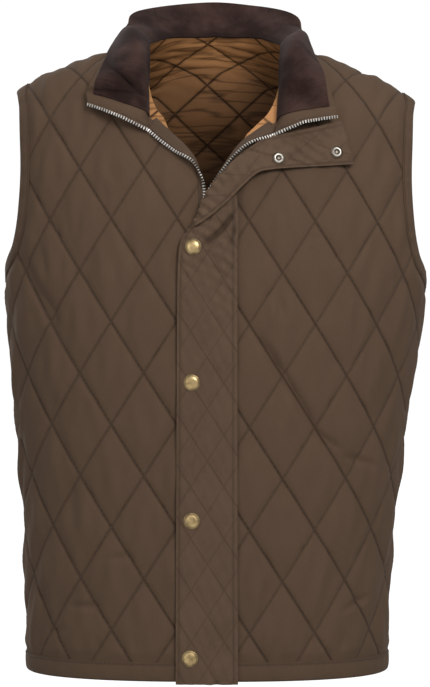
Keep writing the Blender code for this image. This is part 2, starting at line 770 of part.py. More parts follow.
def build_hem_bands(cloth):
    """Turned hem of each front and of the back."""
    heights = (HEM_HEIGHT, HEM_HEIGHT + 0.5 * HEM_BAND, HEM_HEIGHT + HEM_BAND)
    pieces = [("hem_band_back", BACK, side_arc(BACK, RIGHT, HEM_HEIGHT), side_arc(BACK, LEFT, HEM_HEIGHT))]
    for side in (RIGHT, LEFT):
        edge = arc_at(FRONT, NECK_EDGES[side][0].across, HEM_HEIGHT)
        pieces.append(("hem_band_front_" + SIDE_NAMES[side], FRONT, edge, side_arc(FRONT, side, HEM_HEIGHT)))
    for name, face, start, end in pieces:
        start, end = sorted((start, end))
        lines = [hem_line(start + SEAM_GAP, end - SEAM_GAP, height) for height in heights]
        outer = band_grid(face, lines, BAND_OUT, BAND_CROWN)
        inner = band_grid(face, lines, -BAND_IN, 0.0)
        grid_wall(name, outer, inner, cloth)


def neck_seam():
    """Line of the collar seam in space, from the right front round to the left."""
    points = [lifted(FRONT, *spot, COLLAR_SEAM_LIFT) for spot in front_neck(RIGHT, 0.0)[::-1]]
    points += [lifted(BACK, *spot, COLLAR_SEAM_LIFT) for spot in back_neck(0.0)[::-1][1:-1]]
    points += [lifted(FRONT, *spot, COLLAR_SEAM_LIFT) for spot in front_neck(LEFT, 0.0)]
    return even_line(points, COLLAR_STATIONS + 1)


def collar_grid():
    """Middle surface of the collar: a row for each station, from seam to free edge."""
    seam = neck_seam()
    stations = column(COLLAR_EDGE, "station")
    rows = []
    for k, start in enumerate(seam):
        station = k / COLLAR_STATIONS
        end = np.array([smooth(station, stations, column(COLLAR_EDGE, name))
                        for name in ("across", "depth", "height")])
        face = FRONT if start[1] < 0.0 else BACK
        along = arc_at(face, start[0], start[2])
        normal = body_normal(face, along, cloth_height(face, start[0], start[2]))
        stand = start + COLLAR_STAND * normal
        row = []
        for part in np.linspace(0.0, 1.0, COLLAR_STEPS + 1):
            row.append((1.0 - part) ** 2 * start + 2.0 * part * (1.0 - part) * stand + part ** 2 * end)
        rows.append(row)
    return np.array(rows)


def zip_facing_row(row, side):
    """Front edge of the collar shell, carried on past the corduroy to the zip."""
    at_seam = np.array(ZIP_FACING_AT_SEAM[side])
    at_edge = np.array(ZIP_FACING_AT_EDGE[side])
    shares = np.linspace(0.0, 1.0, len(row))[:, None]
    return row + at_seam * (1.0 - shares) + at_edge * shares


def build_collar(cloth, corduroy):
    """Collar shell and its corduroy facing."""
    grid = collar_grid()
    shell = np.concatenate(([zip_facing_row(grid[0], RIGHT)], grid, [zip_facing_row(grid[-1], LEFT)]))
    shell_out = grid_normals(shell)
    half_gap = 0.5 * SEAM_GAP
    near = shell - half_gap * shell_out
    grid_wall("collar_shell", near, near - COLLAR_WALL * shell_out, cloth)
    facing_out = shell_out[1:-1]
    trimmed = grid.copy()
    trimmed[:, -1] = grid[:, -2] + COLLAR_FACING_SHARE * (grid[:, -1] - grid[:, -2])
    low = trimmed + half_gap * facing_out
    grid_wall("collar_facing", low + COLLAR_WALL * facing_out, low, corduroy)


def flap_section(row):
    """Middle points of one flap section: under its fold, round it, and back on top."""
    seam = np.array((row.seam_x, row.seam_z))
    fold = np.array((row.fold_x, row.fold_z))
    free = np.array((row.free_x, row.free_z))
    under = np.linalg.norm(fold - seam)
    top = np.linalg.norm(free - fold)
    fold_share = smooth_step(min(under, top) / FLAP_FOLD_EASE)
    radius = FLAP_FOLD * smooth_step(top / FLAP_FOLD_EASE)
    points = []
    for share in np.linspace(0.0, 1.0, FLAP_COLUMNS):
        place = share * (under + top)
        if place < under:
            spot = seam + (fold - seam) * place / max(under, TINY)
            rise = radius * smooth_step(1.0 - (under - place) / FLAP_FOLD_RUN) * fold_share
        else:
            spot = fold + (free - fold) * (place - under) / max(top, TINY)
            rise = radius * (1.0 + smooth_step((place - under) / FLAP_FOLD_RUN)) * fold_share
        points.append(front_lifted(spot[0], spot[1], row.lift + rise))
    return points


def flap_rows():
    """Flap sections, with even ones between the rows of the table."""
    places = range(len(FLAP))
    count = (len(FLAP) - 1) * FLAP_ROWS_BETWEEN + 1
    for place in np.linspace(0.0, len(FLAP) - 1.0, count):
        yield FlapRow(*(smooth(place, places, column(FLAP, name)) for name in FlapRow._fields))


def build_flap(cloth):
    """Storm flap over the zip, its upper end turned back on the left front."""
    grid = np.array([flap_section(row) for row in flap_rows()])
    half = 0.5 * FLAP_WALL * grid_normals(grid)
    return grid_wall("storm_flap", grid + half, grid - half, cloth)


def tape_heights(side):
    """Heights of the tape's sections, closer together where it turns out."""
    table = column(TAPES[side], "height")
    heights = list(np.linspace(HEM_HEIGHT, table[0], TAPE_ROWS_BELOW)[:-1])
    for low, high in zip(table, table[1:]):
        heights += [low, 0.5 * (low + high)]
    return heights + [table[-1]]


def tape_section(side, height):
    """Middle points of one tape section, from the front's edge to the teeth."""
    edge_heights = column(NECK_EDGES[side], "height")
    edge_across = column(NECK_EDGES[side], "across")
    heights = column(TAPES[side], "height")
    turn = math.radians(smooth(height, heights, column(TAPES[side], "turn")))
    width = smooth(height, heights, column(TAPES[side], "width"))
    slant = TAPE_TOP_SLANT * smooth_step((height - heights[-3]) / (heights[-1] - heights[-3]))
    before = smooth(height - TAPE_REACH, edge_heights, edge_across)
    after = smooth(height + TAPE_REACH, edge_heights, edge_across)
    run = np.array((after - before, 2.0 * TAPE_REACH))
    run = run / np.linalg.norm(run)
    towards = np.array((run[1], -run[0])) * -side
    edge = np.array((arc_at(FRONT, smooth(height, edge_heights, edge_across), height), height))
    rolled = max(turn * TAPE_ROLL, 0.5 * width)
    points = []
    for place in [*np.linspace(0.0, rolled, TAPE_STEPS), width]:
        bent = min(place / TAPE_ROLL, turn)
        straight = place - bent * TAPE_ROLL
        out = SEAM_GAP + TAPE_ROLL * math.sin(bent) + straight * math.cos(bent)
        lift = 0.5 * TAPE_WALL + TAPE_ROLL * (1.0 - math.cos(bent)) + straight * math.sin(bent)
        spot = edge + towards * out - run * slant * place / width
        points.append(lifted(FRONT, *spot, lift))
    return points


def build_zip_tapes(cloth):
    """Zip tape along each front, turned out with the open neck."""
    for side in (RIGHT, LEFT):
        grid = np.array([tape_section(side, height) for height in tape_heights(side)])
        half = 0.5 * TAPE_WALL * grid_normals(grid)
        grid_wall("zip_tape_" + SIDE_NAMES[side], grid + half, grid - half, cloth)


def build_snaps(brass, steel, flap):
    """Snap caps down the flap and sockets on its turned back end."""
    places = [(place, CAP_PROFILE, brass) for place in SNAP_CAPS]
    places += [(place, SOCKET_PROFILE, steel) for place in SNAP_SOCKETS]
    faces = [tuple(polygon.vertices) for polygon in flap.data.polygons]
    surface = BVHTree.FromPolygons([vertex.co for vertex in flap.data.vertices], faces)
    for place, profile, finish in places:
        along = arc_at(FRONT, place.across, place.height)
        normal = body_normal(FRONT, along, place.height)
        foot = body_point(FRONT, along, place.height)
        top = rest_height(surface, foot, normal, profile[1].radius) + SEAM_GAP
        turned_solid(place.name, profile, foot + top * normal, normal, finish)


def rest_height(surface, foot, normal, radius):
    """Height above a foot point at which a disc just clears a surface."""
    side = np.cross(normal, (0.0, 0.0, 1.0))
    side = side / np.linalg.norm(side)
    other = np.cross(normal, side)
    heights = []
    for k in range(SNAP_SIDES):
        turn = 2.0 * math.pi * k / SNAP_SIDES
        for reach in (0.0, 0.5 * radius, radius):
            spot = foot + reach * (math.cos(turn) * side + math.sin(turn) * other)
            hit = surface.ray_cast(Vector(spot + SNAP_SEARCH * normal), Vector(-normal))
            if hit[0] is not None:
                heights.append(SNAP_SEARCH - hit[3])
    return max(heights)


def build_slider(steel):
    """Zip slider at the foot of the open neck and its hanging pull tab."""
    plate("zip_slider", SLIDER_OUTLINE, SLIDER_LIFT, steel)
    plate("zip_pull", PULL_OUTLINE, PULL_LIFT, steel)


def main():
    """Build every piece of the jacket."""
    for old in list(bpy.data.objects):
        bpy.data.objects.remove(old)
    cotton = material("quilted_cotton", SHELL_BROWN, 0.85)
    flap_cotton = material("flap_cotton", FLAP_BROWN, 0.85)
    corduroy = material("corduroy", CORD_BROWN, 0.95)
    lining = material("lining", LINING_TAN, 0.6)
    tape = material("zip_tape", TAPE_BROWN, 0.85)
    brass = material("aged_brass", BRASS, 0.4, 1.0)
    steel = material("nickel", STEEL, 0.35, 1.0)
    build_shell(cotton)
    build_lining(lining)
    build_armhole_bands(cotton)
    build_hem_bands(cotton)
    build_collar(cotton, corduroy)
    flap = build_flap(flap_cotton)
    build_zip_tapes(tape)
    build_snaps(brass, steel, flap)
    build_slider(steel)


main()
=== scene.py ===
"""Looks of a quilted sleeveless jacket with a corduroy collar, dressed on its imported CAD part.

Sizes are metres. +X is the wearer's left, -Y the front, +Z up.
"""

import logging
import math
from collections.abc import Sequence
from dataclasses import dataclass, field, replace
from enum import Enum
from functools import cache
from typing import NamedTuple

import bpy
import numpy as np
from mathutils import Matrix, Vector
from mathutils.geometry import delaunay_2d_cdt


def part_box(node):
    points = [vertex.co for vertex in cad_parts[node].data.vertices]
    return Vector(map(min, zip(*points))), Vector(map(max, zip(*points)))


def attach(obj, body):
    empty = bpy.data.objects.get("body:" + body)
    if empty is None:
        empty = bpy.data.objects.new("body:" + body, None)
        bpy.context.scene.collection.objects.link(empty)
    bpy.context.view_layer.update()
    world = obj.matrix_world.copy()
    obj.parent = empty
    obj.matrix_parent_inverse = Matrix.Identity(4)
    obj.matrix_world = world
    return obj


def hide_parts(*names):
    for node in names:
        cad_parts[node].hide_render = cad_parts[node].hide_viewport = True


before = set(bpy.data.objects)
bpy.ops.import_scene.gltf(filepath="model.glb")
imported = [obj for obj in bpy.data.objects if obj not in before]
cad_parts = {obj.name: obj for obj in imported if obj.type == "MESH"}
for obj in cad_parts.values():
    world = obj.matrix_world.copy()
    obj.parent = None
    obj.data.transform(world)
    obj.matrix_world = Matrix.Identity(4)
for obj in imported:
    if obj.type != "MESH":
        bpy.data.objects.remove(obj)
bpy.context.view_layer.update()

LOG = logging.getLogger("jacket")
Array = np.ndarray
Piece = bpy.types.Object
Material = bpy.types.Material
Colour = tuple[float, float, float]
BODY = "jacket"
TINY = 1e-9


class Face(Enum):
    """Half of the body that a piece lies on, as the sign of its Y."""

    FRONT = -1.0
    BACK = 1.0


class Side(Enum):
    """Wearer's side, as the sign of its X."""

    RIGHT = -1.0
    LEFT = 1.0


class Held(Enum):
    """How a cloth piece is held."""

    STRETCHED = "stretched"
    FOLDED = "folded"


class Section(NamedTuple):
    """Half widths and depths of the body at one height."""

    height: float
    right_half: float
    left_half: float
    front_depth: float
    back_depth: float


class Crown(NamedTuple):
    """Height of each shoulder line at a distance from the middle."""

    across: float
    right: float
    left: float


class Spot(NamedTuple):
    """Front view place."""

    across: float
    height: float


class Lip(NamedTuple):
    """How far the lining is carried into the neck opening, and how fast that dies away downwards."""

    reach: float
    power: float


class TapeRow(NamedTuple):
    """How far the zip tape is turned out, in degrees, and its width at one height."""

    height: float
    turn: float
    width: float


class CollarRow(NamedTuple):
    """Free edge of the collar at a share of the way round the neck seam."""

    station: float
    across: float
    depth: float
    height: float


class FlapRow(NamedTuple):
    """Seam, fold and free edge of one flap section and its height off the front."""

    seam_x: float
    seam_z: float
    fold_x: float
    fold_z: float
    free_x: float
    free_z: float
    lift: float


class Crease(NamedTuple):
    """Soft trough, or ridge where depth is below zero, through a front view place."""

    across: float
    height: float
    length: float
    lean: float
    width: float
    depth: float


def rows_of(kind: type, *rows: Sequence[float]) -> tuple:
    """Rows of one kind."""
    return tuple(kind(*row) for row in rows)


SHELL_WALL = 0.0016
SHELL_LOFT = 0.0034
LINING_DEPTH = 0.0030
LINING_WALL = 0.0012
LINING_LOFT = 0.0018
HEM_HEIGHT = -0.666
HEM_BAND = 0.019
PANEL_FOOT = HEM_HEIGHT + HEM_BAND
ARMHOLE_BAND = 0.0145
NECK_HALF = 0.075
NECK_BACK_HEIGHT = 0.051
LEFT_ARMHOLE_DROP = 0.011
LINING_NECK = 0.0006
LIP_RISE = 8
# Height added to the fronts' lining before it reads its painted shade, so that its lips in the neck stay
# light.
FRONT_LINING_SHADE_DROP = 0.112
EDGE_STEP = 0.006

SECTIONS = rows_of(
    Section,
    (-0.7, 0.208, 0.189, 0.121, 0.11), (-0.565, 0.208, 0.19, 0.123, 0.112),
    (-0.485, 0.211, 0.197, 0.125, 0.115), (-0.39, 0.219, 0.209, 0.127, 0.118),
    (-0.31, 0.226, 0.222, 0.128, 0.121), (-0.245, 0.23, 0.23, 0.126, 0.123),
    (-0.12, 0.231, 0.231, 0.11, 0.12), (-0.06, 0.231, 0.231, 0.092, 0.108),
)
CROWNS = rows_of(
    Crown,
    (0.0, 0.055, 0.055), (0.05, 0.04, 0.039), (0.08, 0.014, 0.011), (0.12, 0.0, -0.005),
    (0.15, -0.01, -0.018), (0.185, -0.023, -0.032), (0.23, -0.048, -0.06),
)
ARMHOLE = rows_of(
    Spot,
    (0.216, -0.042), (0.211, -0.06), (0.2085, -0.092), (0.207, -0.128), (0.208, -0.158),
    (0.2112, -0.19), (0.2175, -0.215), (0.23, -0.236),
)
NECK_EDGES = {
    Side.RIGHT: rows_of(
        Spot,
        (-0.0184, -0.172), (-0.019, -0.147), (-0.0245, -0.1265), (-0.034, -0.114), (-0.0515, -0.0972),
        (-0.071, -0.0785),
    ),
    Side.LEFT: rows_of(
        Spot,
        (-0.0044, -0.172), (-0.003, -0.158), (0.0078, -0.139), (0.019, -0.1215), (0.03, -0.1085),
        (0.045, -0.0972), (0.0645, -0.0835),
    ),
}
NO_LIP = Lip(0.0, 1.0)
LINING_LIPS = {Side.RIGHT: Lip(0.016, 3.0), Side.LEFT: Lip(0.019, 1.2)}
TAPES = {
    Side.RIGHT: rows_of(
        TapeRow,
        (-0.176, 0.0, 0.0062), (-0.16, 30.0, 0.007), (-0.147, 75.0, 0.009), (-0.1265, 140.0, 0.014),
        (-0.114, 176.0, 0.019), (-0.0972, 180.0, 0.0215), (-0.083, 180.0, 0.0225),
    ),
    Side.LEFT: rows_of(
        TapeRow,
        (-0.176, 0.0, 0.0062), (-0.158, 70.0, 0.0066), (-0.139, 135.0, 0.009), (-0.1215, 138.0, 0.013),
        (-0.1085, 148.0, 0.016), (-0.0972, 160.0, 0.0195), (-0.0875, 178.0, 0.0225),
    ),
}
COLLAR_EDGE = rows_of(
    CollarRow,
    (0.0, -0.1295, -0.091, -0.0545), (0.09, -0.125, -0.087, -0.0385), (0.18, -0.1135, -0.04, -0.001),
    (0.27, -0.106, 0.0, 0.0165), (0.36, -0.097, 0.042, 0.0355), (0.42, -0.087, 0.072, 0.055),
    (0.46, -0.05, 0.092, 0.064), (0.5, 0.0, 0.099, 0.068), (0.54, 0.048, 0.093, 0.0625),
    (0.58, 0.0845, 0.07, 0.0515), (0.64, 0.0945, 0.042, 0.0305), (0.73, 0.101, 0.0, 0.0095),
    (0.82, 0.106, -0.056, -0.012), (0.91, 0.1145, -0.092, -0.043), (1.0, 0.119, -0.099, -0.069),
)
FLAP = rows_of(
    FlapRow,
    (0.0225, -0.668, -0.0413, -0.668, -0.0413, -0.668, 0.006),
    (0.022, -0.56, -0.041, -0.56, -0.041, -0.56, 0.006),
    (0.0218, -0.45, -0.0405, -0.45, -0.0405, -0.45, 0.006),
    (0.0217, -0.34, -0.04, -0.34, -0.04, -0.34, 0.0062),
    (0.0217, -0.26, -0.0395, -0.26, -0.0395, -0.26, 0.007),
    (0.0218, -0.215, -0.037, -0.215, -0.037, -0.215, 0.0086),
    (0.0224, -0.2, -0.029, -0.2, -0.028, -0.201, 0.0095),
    (0.0224, -0.185, -0.0205, -0.186, -0.015, -0.193, 0.01),
    (0.0218, -0.17, -0.015, -0.17, 0.0005, -0.1815, 0.01),
    (0.0204, -0.156, -0.0064, -0.156, 0.0145, -0.169, 0.0095),
    (0.021, -0.144, 0.007, -0.14, 0.0285, -0.1545, 0.009),
    (0.0265, -0.1285, 0.0216, -0.1258, 0.043, -0.142, 0.0085),
    (0.0385, -0.114, 0.0368, -0.1134, 0.059, -0.1375, 0.0082),
    (0.053, -0.1035, 0.0525, -0.103, 0.078, -0.1355, 0.008),
    (0.074, -0.099, 0.0738, -0.0988, 0.0965, -0.1342, 0.008),
    (0.101, -0.093, 0.1009, -0.0928, 0.119, -0.1325, 0.008),
    (0.13, -0.085, 0.13, -0.0848, 0.141, -0.1306, 0.008),
)


def ease(value: Array) -> Array:
    """Ease from 0 to 1 as a value goes from 0 to 1."""
    value = np.clip(value, 0.0, 1.0)
    return value * value * (3.0 - 2.0 * value)


def unit(vectors: Array) -> Array:
    """Vectors at length one."""
    return vectors / np.maximum(np.linalg.norm(vectors, axis=-1, keepdims=True), TINY)


def run_lengths(points: Array, axis: int = 0) -> Array:
    """Measure the distance run along lines of points.

    Args:
        points: Points, their coordinates on the last axis.
        axis: Axis that the lines run along.

    Returns:
        The distance at each point, from 0 at the start of its line.
    """
    steps = np.linalg.norm(np.diff(points, axis=axis), axis=-1)
    start = np.zeros_like(np.take(steps, [0], axis=axis))
    return np.concatenate((start, np.cumsum(steps, axis=axis)), axis=axis)


@dataclass(frozen=True)
class Curve:
    """Smooth curve through one column of a table."""

    knots: Sequence[float]
    values: Sequence[float]

    @classmethod
    def column(cls, rows: Sequence[NamedTuple], by: str, name: str) -> "Curve":
        """Curve of one named column against another."""
        return cls([getattr(row, by) for row in rows], [getattr(row, name) for row in rows])

    def at(self, place: Array) -> Array:
        """Read the curve.

        Args:
            place: Where to read it. The ends hold outside the table.

        Returns:
            The curve's value at each place.
        """
        knots = np.asarray(self.knots, dtype=float)
        values = np.asarray(self.values, dtype=float)
        slopes = np.gradient(values, knots)
        place = np.clip(place, knots[0], knots[-1])
        low = np.clip(np.searchsorted(knots, place, side="right") - 1, 0, len(knots) - 2)
        step = knots[low + 1] - knots[low]
        part = (place - knots[low]) / step
        rest = 1.0 - part
        start = values[low] * rest * rest * (1.0 + 2.0 * part)
        end = values[low + 1] * part * part * (3.0 - 2.0 * part)
        bends = slopes[low] * part * rest * rest - slopes[low + 1] * part * part * rest
        return start + end + step * bends


def row_curve(rows: Sequence[NamedTuple], places: Array) -> Array:
    """A whole table read smoothly at places counted in rows, with parts of a row."""
    return np.stack([Curve(range(len(rows)), column).at(places) for column in zip(*rows)], axis=-1)


def grid_read(table: Array, row: Array, place: Array) -> Array:
    """Read a table between its rows and columns.

    Args:
        table: Values by row and column.
        row: Row numbers, with parts of a row.
        place: Column numbers, with parts of a column.

    Returns:
        The value at each place.
    """
    row = np.clip(row, 0.0, table.shape[0] - 1.001)
    place = np.clip(place, 0.0, table.shape[1] - 1.001)
    i, j = row.astype(int), place.astype(int)
    u, v = row - i, place - j
    low = table[i, j] * (1.0 - v) + table[i, j + 1] * v
    high = table[i + 1, j] * (1.0 - v) + table[i + 1, j + 1] * v
    return low * (1.0 - u) + high * u


def even_line(points: Array, count: int) -> Array:
    """Space a number of points evenly along a line.

    Args:
        points: Points of the line.
        count: How many to give.

    Returns:
        The spaced points.
    """
    lengths = run_lengths(points)
    places = np.linspace(0.0, lengths[-1], count)
    return np.stack([np.interp(places, lengths, points[:, k]) for k in range(points.shape[1])], axis=1)


def line_length(points: Array) -> float:
    """Length of a line of points."""
    return float(np.linalg.norm(np.diff(points, axis=0), axis=1).sum())


def line_gap(spots: Array, line: Array) -> Array:
    """Measure how far places are from a line.

    Args:
        spots: Places, one a row.
        line: Points of an open line.

    Returns:
        The distance of each place.
    """
    best = np.full(len(spots), np.inf)
    for start, end in zip(line, line[1:]):
        run = end - start
        share = np.clip((spots - start) @ run / max(run @ run, TINY), 0.0, 1.0)
        gap = spots - start - share[:, None] * run
        best = np.minimum(best, np.einsum("ij,ij->i", gap, gap))
    return np.sqrt(best)


def is_inside(spots: Array, outline: Array) -> Array:
    """Tell which places lie in a closed outline.

    Args:
        spots: Places, one a row.
        outline: Corners of the outline.

    Returns:
        True for each place inside.
    """
    odd = np.zeros(len(spots), dtype=bool)
    for start, end in zip(outline, np.roll(outline, -1, axis=0)):
        level = (start[1] > spots[:, 1]) != (end[1] > spots[:, 1])
        share = (spots[:, 1] - start[1]) / (end[1] - start[1] + TINY)
        odd ^= level & (spots[:, 0] < start[0] + share * (end[0] - start[0]))
    return odd


class SectionTable(NamedTuple):
    """Sections of one quarter of the body: arc by angle, and place by share of the arc."""

    arc: Array
    seam: Array
    across: Array
    out: Array
    half: Array


@dataclass
class BodyForm:
    """Form that the panels lie on, read by distance round it and distance up the cloth."""

    squareness: float = 2.4
    under: float = SHELL_WALL + SHELL_LOFT
    roll_height: float = 0.060
    past_seam: float = 1.08
    rows: int = 161
    angles: int = 201
    columns: int = 221
    turn_end: float = 100.0
    tables: dict[tuple[Face, Side], SectionTable] = field(default_factory=dict)

    def __post_init__(self) -> None:
        """Work the sections out once."""
        self.top = SECTIONS[-1].height
        self.heights = np.linspace(SECTIONS[0].height, self.top, self.rows)
        self.crowns = {
            Side.RIGHT: Curve.column(CROWNS, "across", "right"),
            Side.LEFT: Curve.column(CROWNS, "across", "left"),
        }
        turns = np.radians(np.linspace(0.0, self.turn_end, self.angles))
        power = 2.0 / self.squareness
        for face in Face:
            depth = self.size(f"{face.name.lower()}_depth")
            for side in Side:
                half = self.size(f"{side.name.lower()}_half")
                across = half[:, None] * np.abs(np.sin(turns)) ** power
                out = depth[:, None] * np.sign(np.cos(turns)) * np.abs(np.cos(turns)) ** power
                steps = np.hypot(np.diff(across, axis=1), np.diff(out, axis=1))
                arc = np.concatenate((np.zeros((self.rows, 1)), np.cumsum(steps, axis=1)), axis=1)
                seam = np.array([np.interp(0.5 * math.pi, turns, row) for row in arc])
                shares = np.linspace(0.0, self.past_seam, self.columns)
                places = seam[:, None] * shares
                across = np.stack([np.interp(p, a, x) for p, a, x in zip(places, arc, across)])
                out = np.stack([np.interp(p, a, y) for p, a, y in zip(places, arc, out)])
                self.tables[face, side] = SectionTable(arc, seam, across, out, half)

    def size(self, name: str) -> Array:
        """One size of the sections at every height, under the cloth."""
        return Curve.column(SECTIONS, "height", name).at(self.heights) - self.under

    def row(self, height: Array) -> Array:
        """Row numbers of the section tables at each height."""
        share = (np.minimum(height, self.top) - self.heights[0]) / (self.top - self.heights[0])
        return share * (self.rows - 1.0)

    def by_side(self, signed: Array) -> list[tuple[Side, Array]]:
        """Each side with the places whose signed distance lies on it."""
        return [(Side.RIGHT, signed < 0.0), (Side.LEFT, signed >= 0.0)]

    def arc_at(self, face: Face, x: Array, height: Array) -> Array:
        """Signed distance round the section.

        Args:
            face: Half of the body.
            x: Distance across from the middle.
            height: Height of the section.

        Returns:
            The distance round to each x, no further than the side seam.
        """
        x, height = np.broadcast_arrays(np.asarray(x, dtype=float), np.asarray(height, dtype=float))
        arc = np.zeros(x.shape)
        for side, pick in self.by_side(x):
            table = self.tables[face, side]
            half = np.interp(np.minimum(height[pick], self.top), self.heights, table.half)
            share = np.clip(np.abs(x[pick]) / half, 0.0, 1.0)
            turn = np.degrees(np.arcsin(np.sqrt(share**self.squareness)))
            place = turn / self.turn_end * (self.angles - 1.0)
            arc[pick] = side.value * grid_read(table.arc, self.row(height[pick]), place)
        return arc

    def side_arc(self, face: Face, side: Side, height: Array) -> Array:
        """Signed distance round the section to the side seam."""
        seam = self.tables[face, side].seam
        return side.value * np.interp(np.minimum(height, self.top), self.heights, seam)

    def roll_start(self, x: Array) -> Array:
        """Height where the cloth starts to turn over the shoulder."""
        right, left = (self.crowns[side].at(np.abs(x)) for side in (Side.RIGHT, Side.LEFT))
        return np.where(np.asarray(x) >= 0.0, left, right) - self.under - self.roll_height

    def roll_length(self, face: Face, x: Array) -> Array:
        """Length of cloth from the start of the turn to the shoulder line.

        Args:
            face: Front or back.
            x: Places across.

        Returns:
            One length for each place.
        """
        last = SECTIONS[-1]
        depth = (last.front_depth if face is Face.FRONT else last.back_depth) - self.under
        half = np.where(np.asarray(x) >= 0.0, last.left_half, last.right_half) - self.under
        share = np.clip(np.abs(x) / half, 0.0, 1.0)
        out = depth * (1.0 - share**self.squareness) ** (1.0 / self.squareness)
        return 0.5 * math.pi * np.sqrt(0.5 * (self.roll_height**2 + out**2))

    def cloth_height(self, face: Face, x: Array, z: Array) -> Array:
        """Distance up the cloth of a front view place.

        Args:
            face: Half of the body.
            x: Distance across from the middle.
            z: True height.

        Returns:
            The height along the cloth, the same as z below the shoulder's turn.
        """
        start = self.roll_start(x)
        turn = np.arcsin(np.clip((z - start) / self.roll_height, 0.0, 1.0))
        return np.where(z <= start, z, start + self.roll_length(face, x) * turn / (0.5 * math.pi))

    def ridge(self, face: Face, x: Array) -> Array:
        """Pattern places on the shoulder seam at each x."""
        height = self.roll_start(x) + self.roll_length(face, x)
        return np.stack((self.arc_at(face, x, self.top), height), axis=-1)

    def points(self, face: Face, spots: Array) -> Array:
        """Lay pattern places on the form.

        Args:
            face: Half of the body.
            spots: Pattern places: distance round, and height up the cloth.

        Returns:
            Points in space.
        """
        along, height = spots[..., 0], spots[..., 1]
        x, y = np.zeros(along.shape), np.zeros(along.shape)
        for side, pick in self.by_side(along):
            table = self.tables[face, side]
            seam = np.interp(np.minimum(height[pick], self.top), self.heights, table.seam)
            place = np.abs(along[pick]) / seam / self.past_seam * (self.columns - 1.0)
            x[pick] = side.value * grid_read(table.across, self.row(height[pick]), place)
            y[pick] = face.value * grid_read(table.out, self.row(height[pick]), place)
        start = self.roll_start(x)
        turn = np.maximum(0.5 * math.pi * (height - start) / self.roll_length(face, x), 0.0)
        z = np.where(height <= start, height, start + self.roll_height * np.sin(turn))
        return np.stack((x, y * np.cos(turn), z), axis=-1)

    def normals(self, face: Face, spots: Array, reach: float = 0.003) -> Array:
        """Outward directions of the form at pattern places.

        Args:
            face: Front or back.
            spots: Pattern places.
            reach: Step that slopes are taken over.

        Returns:
            One for each place.
        """
        steps = (np.array((reach, 0.0)), np.array((0.0, reach)))
        runs = [self.points(face, spots + step) - self.points(face, spots - step) for step in steps]
        return unit(-face.value * np.cross(*runs))

    def lifted(self, face: Face, spots: Array, lift: Array) -> Array:
        """Points at a height above the form."""
        return self.points(face, spots) + np.asarray(lift)[..., None] * self.normals(face, spots)

    def flat(self, face: Face, x: Array, z: Array) -> Array:
        """Pattern places of front view places."""
        return np.stack((self.arc_at(face, x, z), self.cloth_height(face, x, z)), axis=-1)


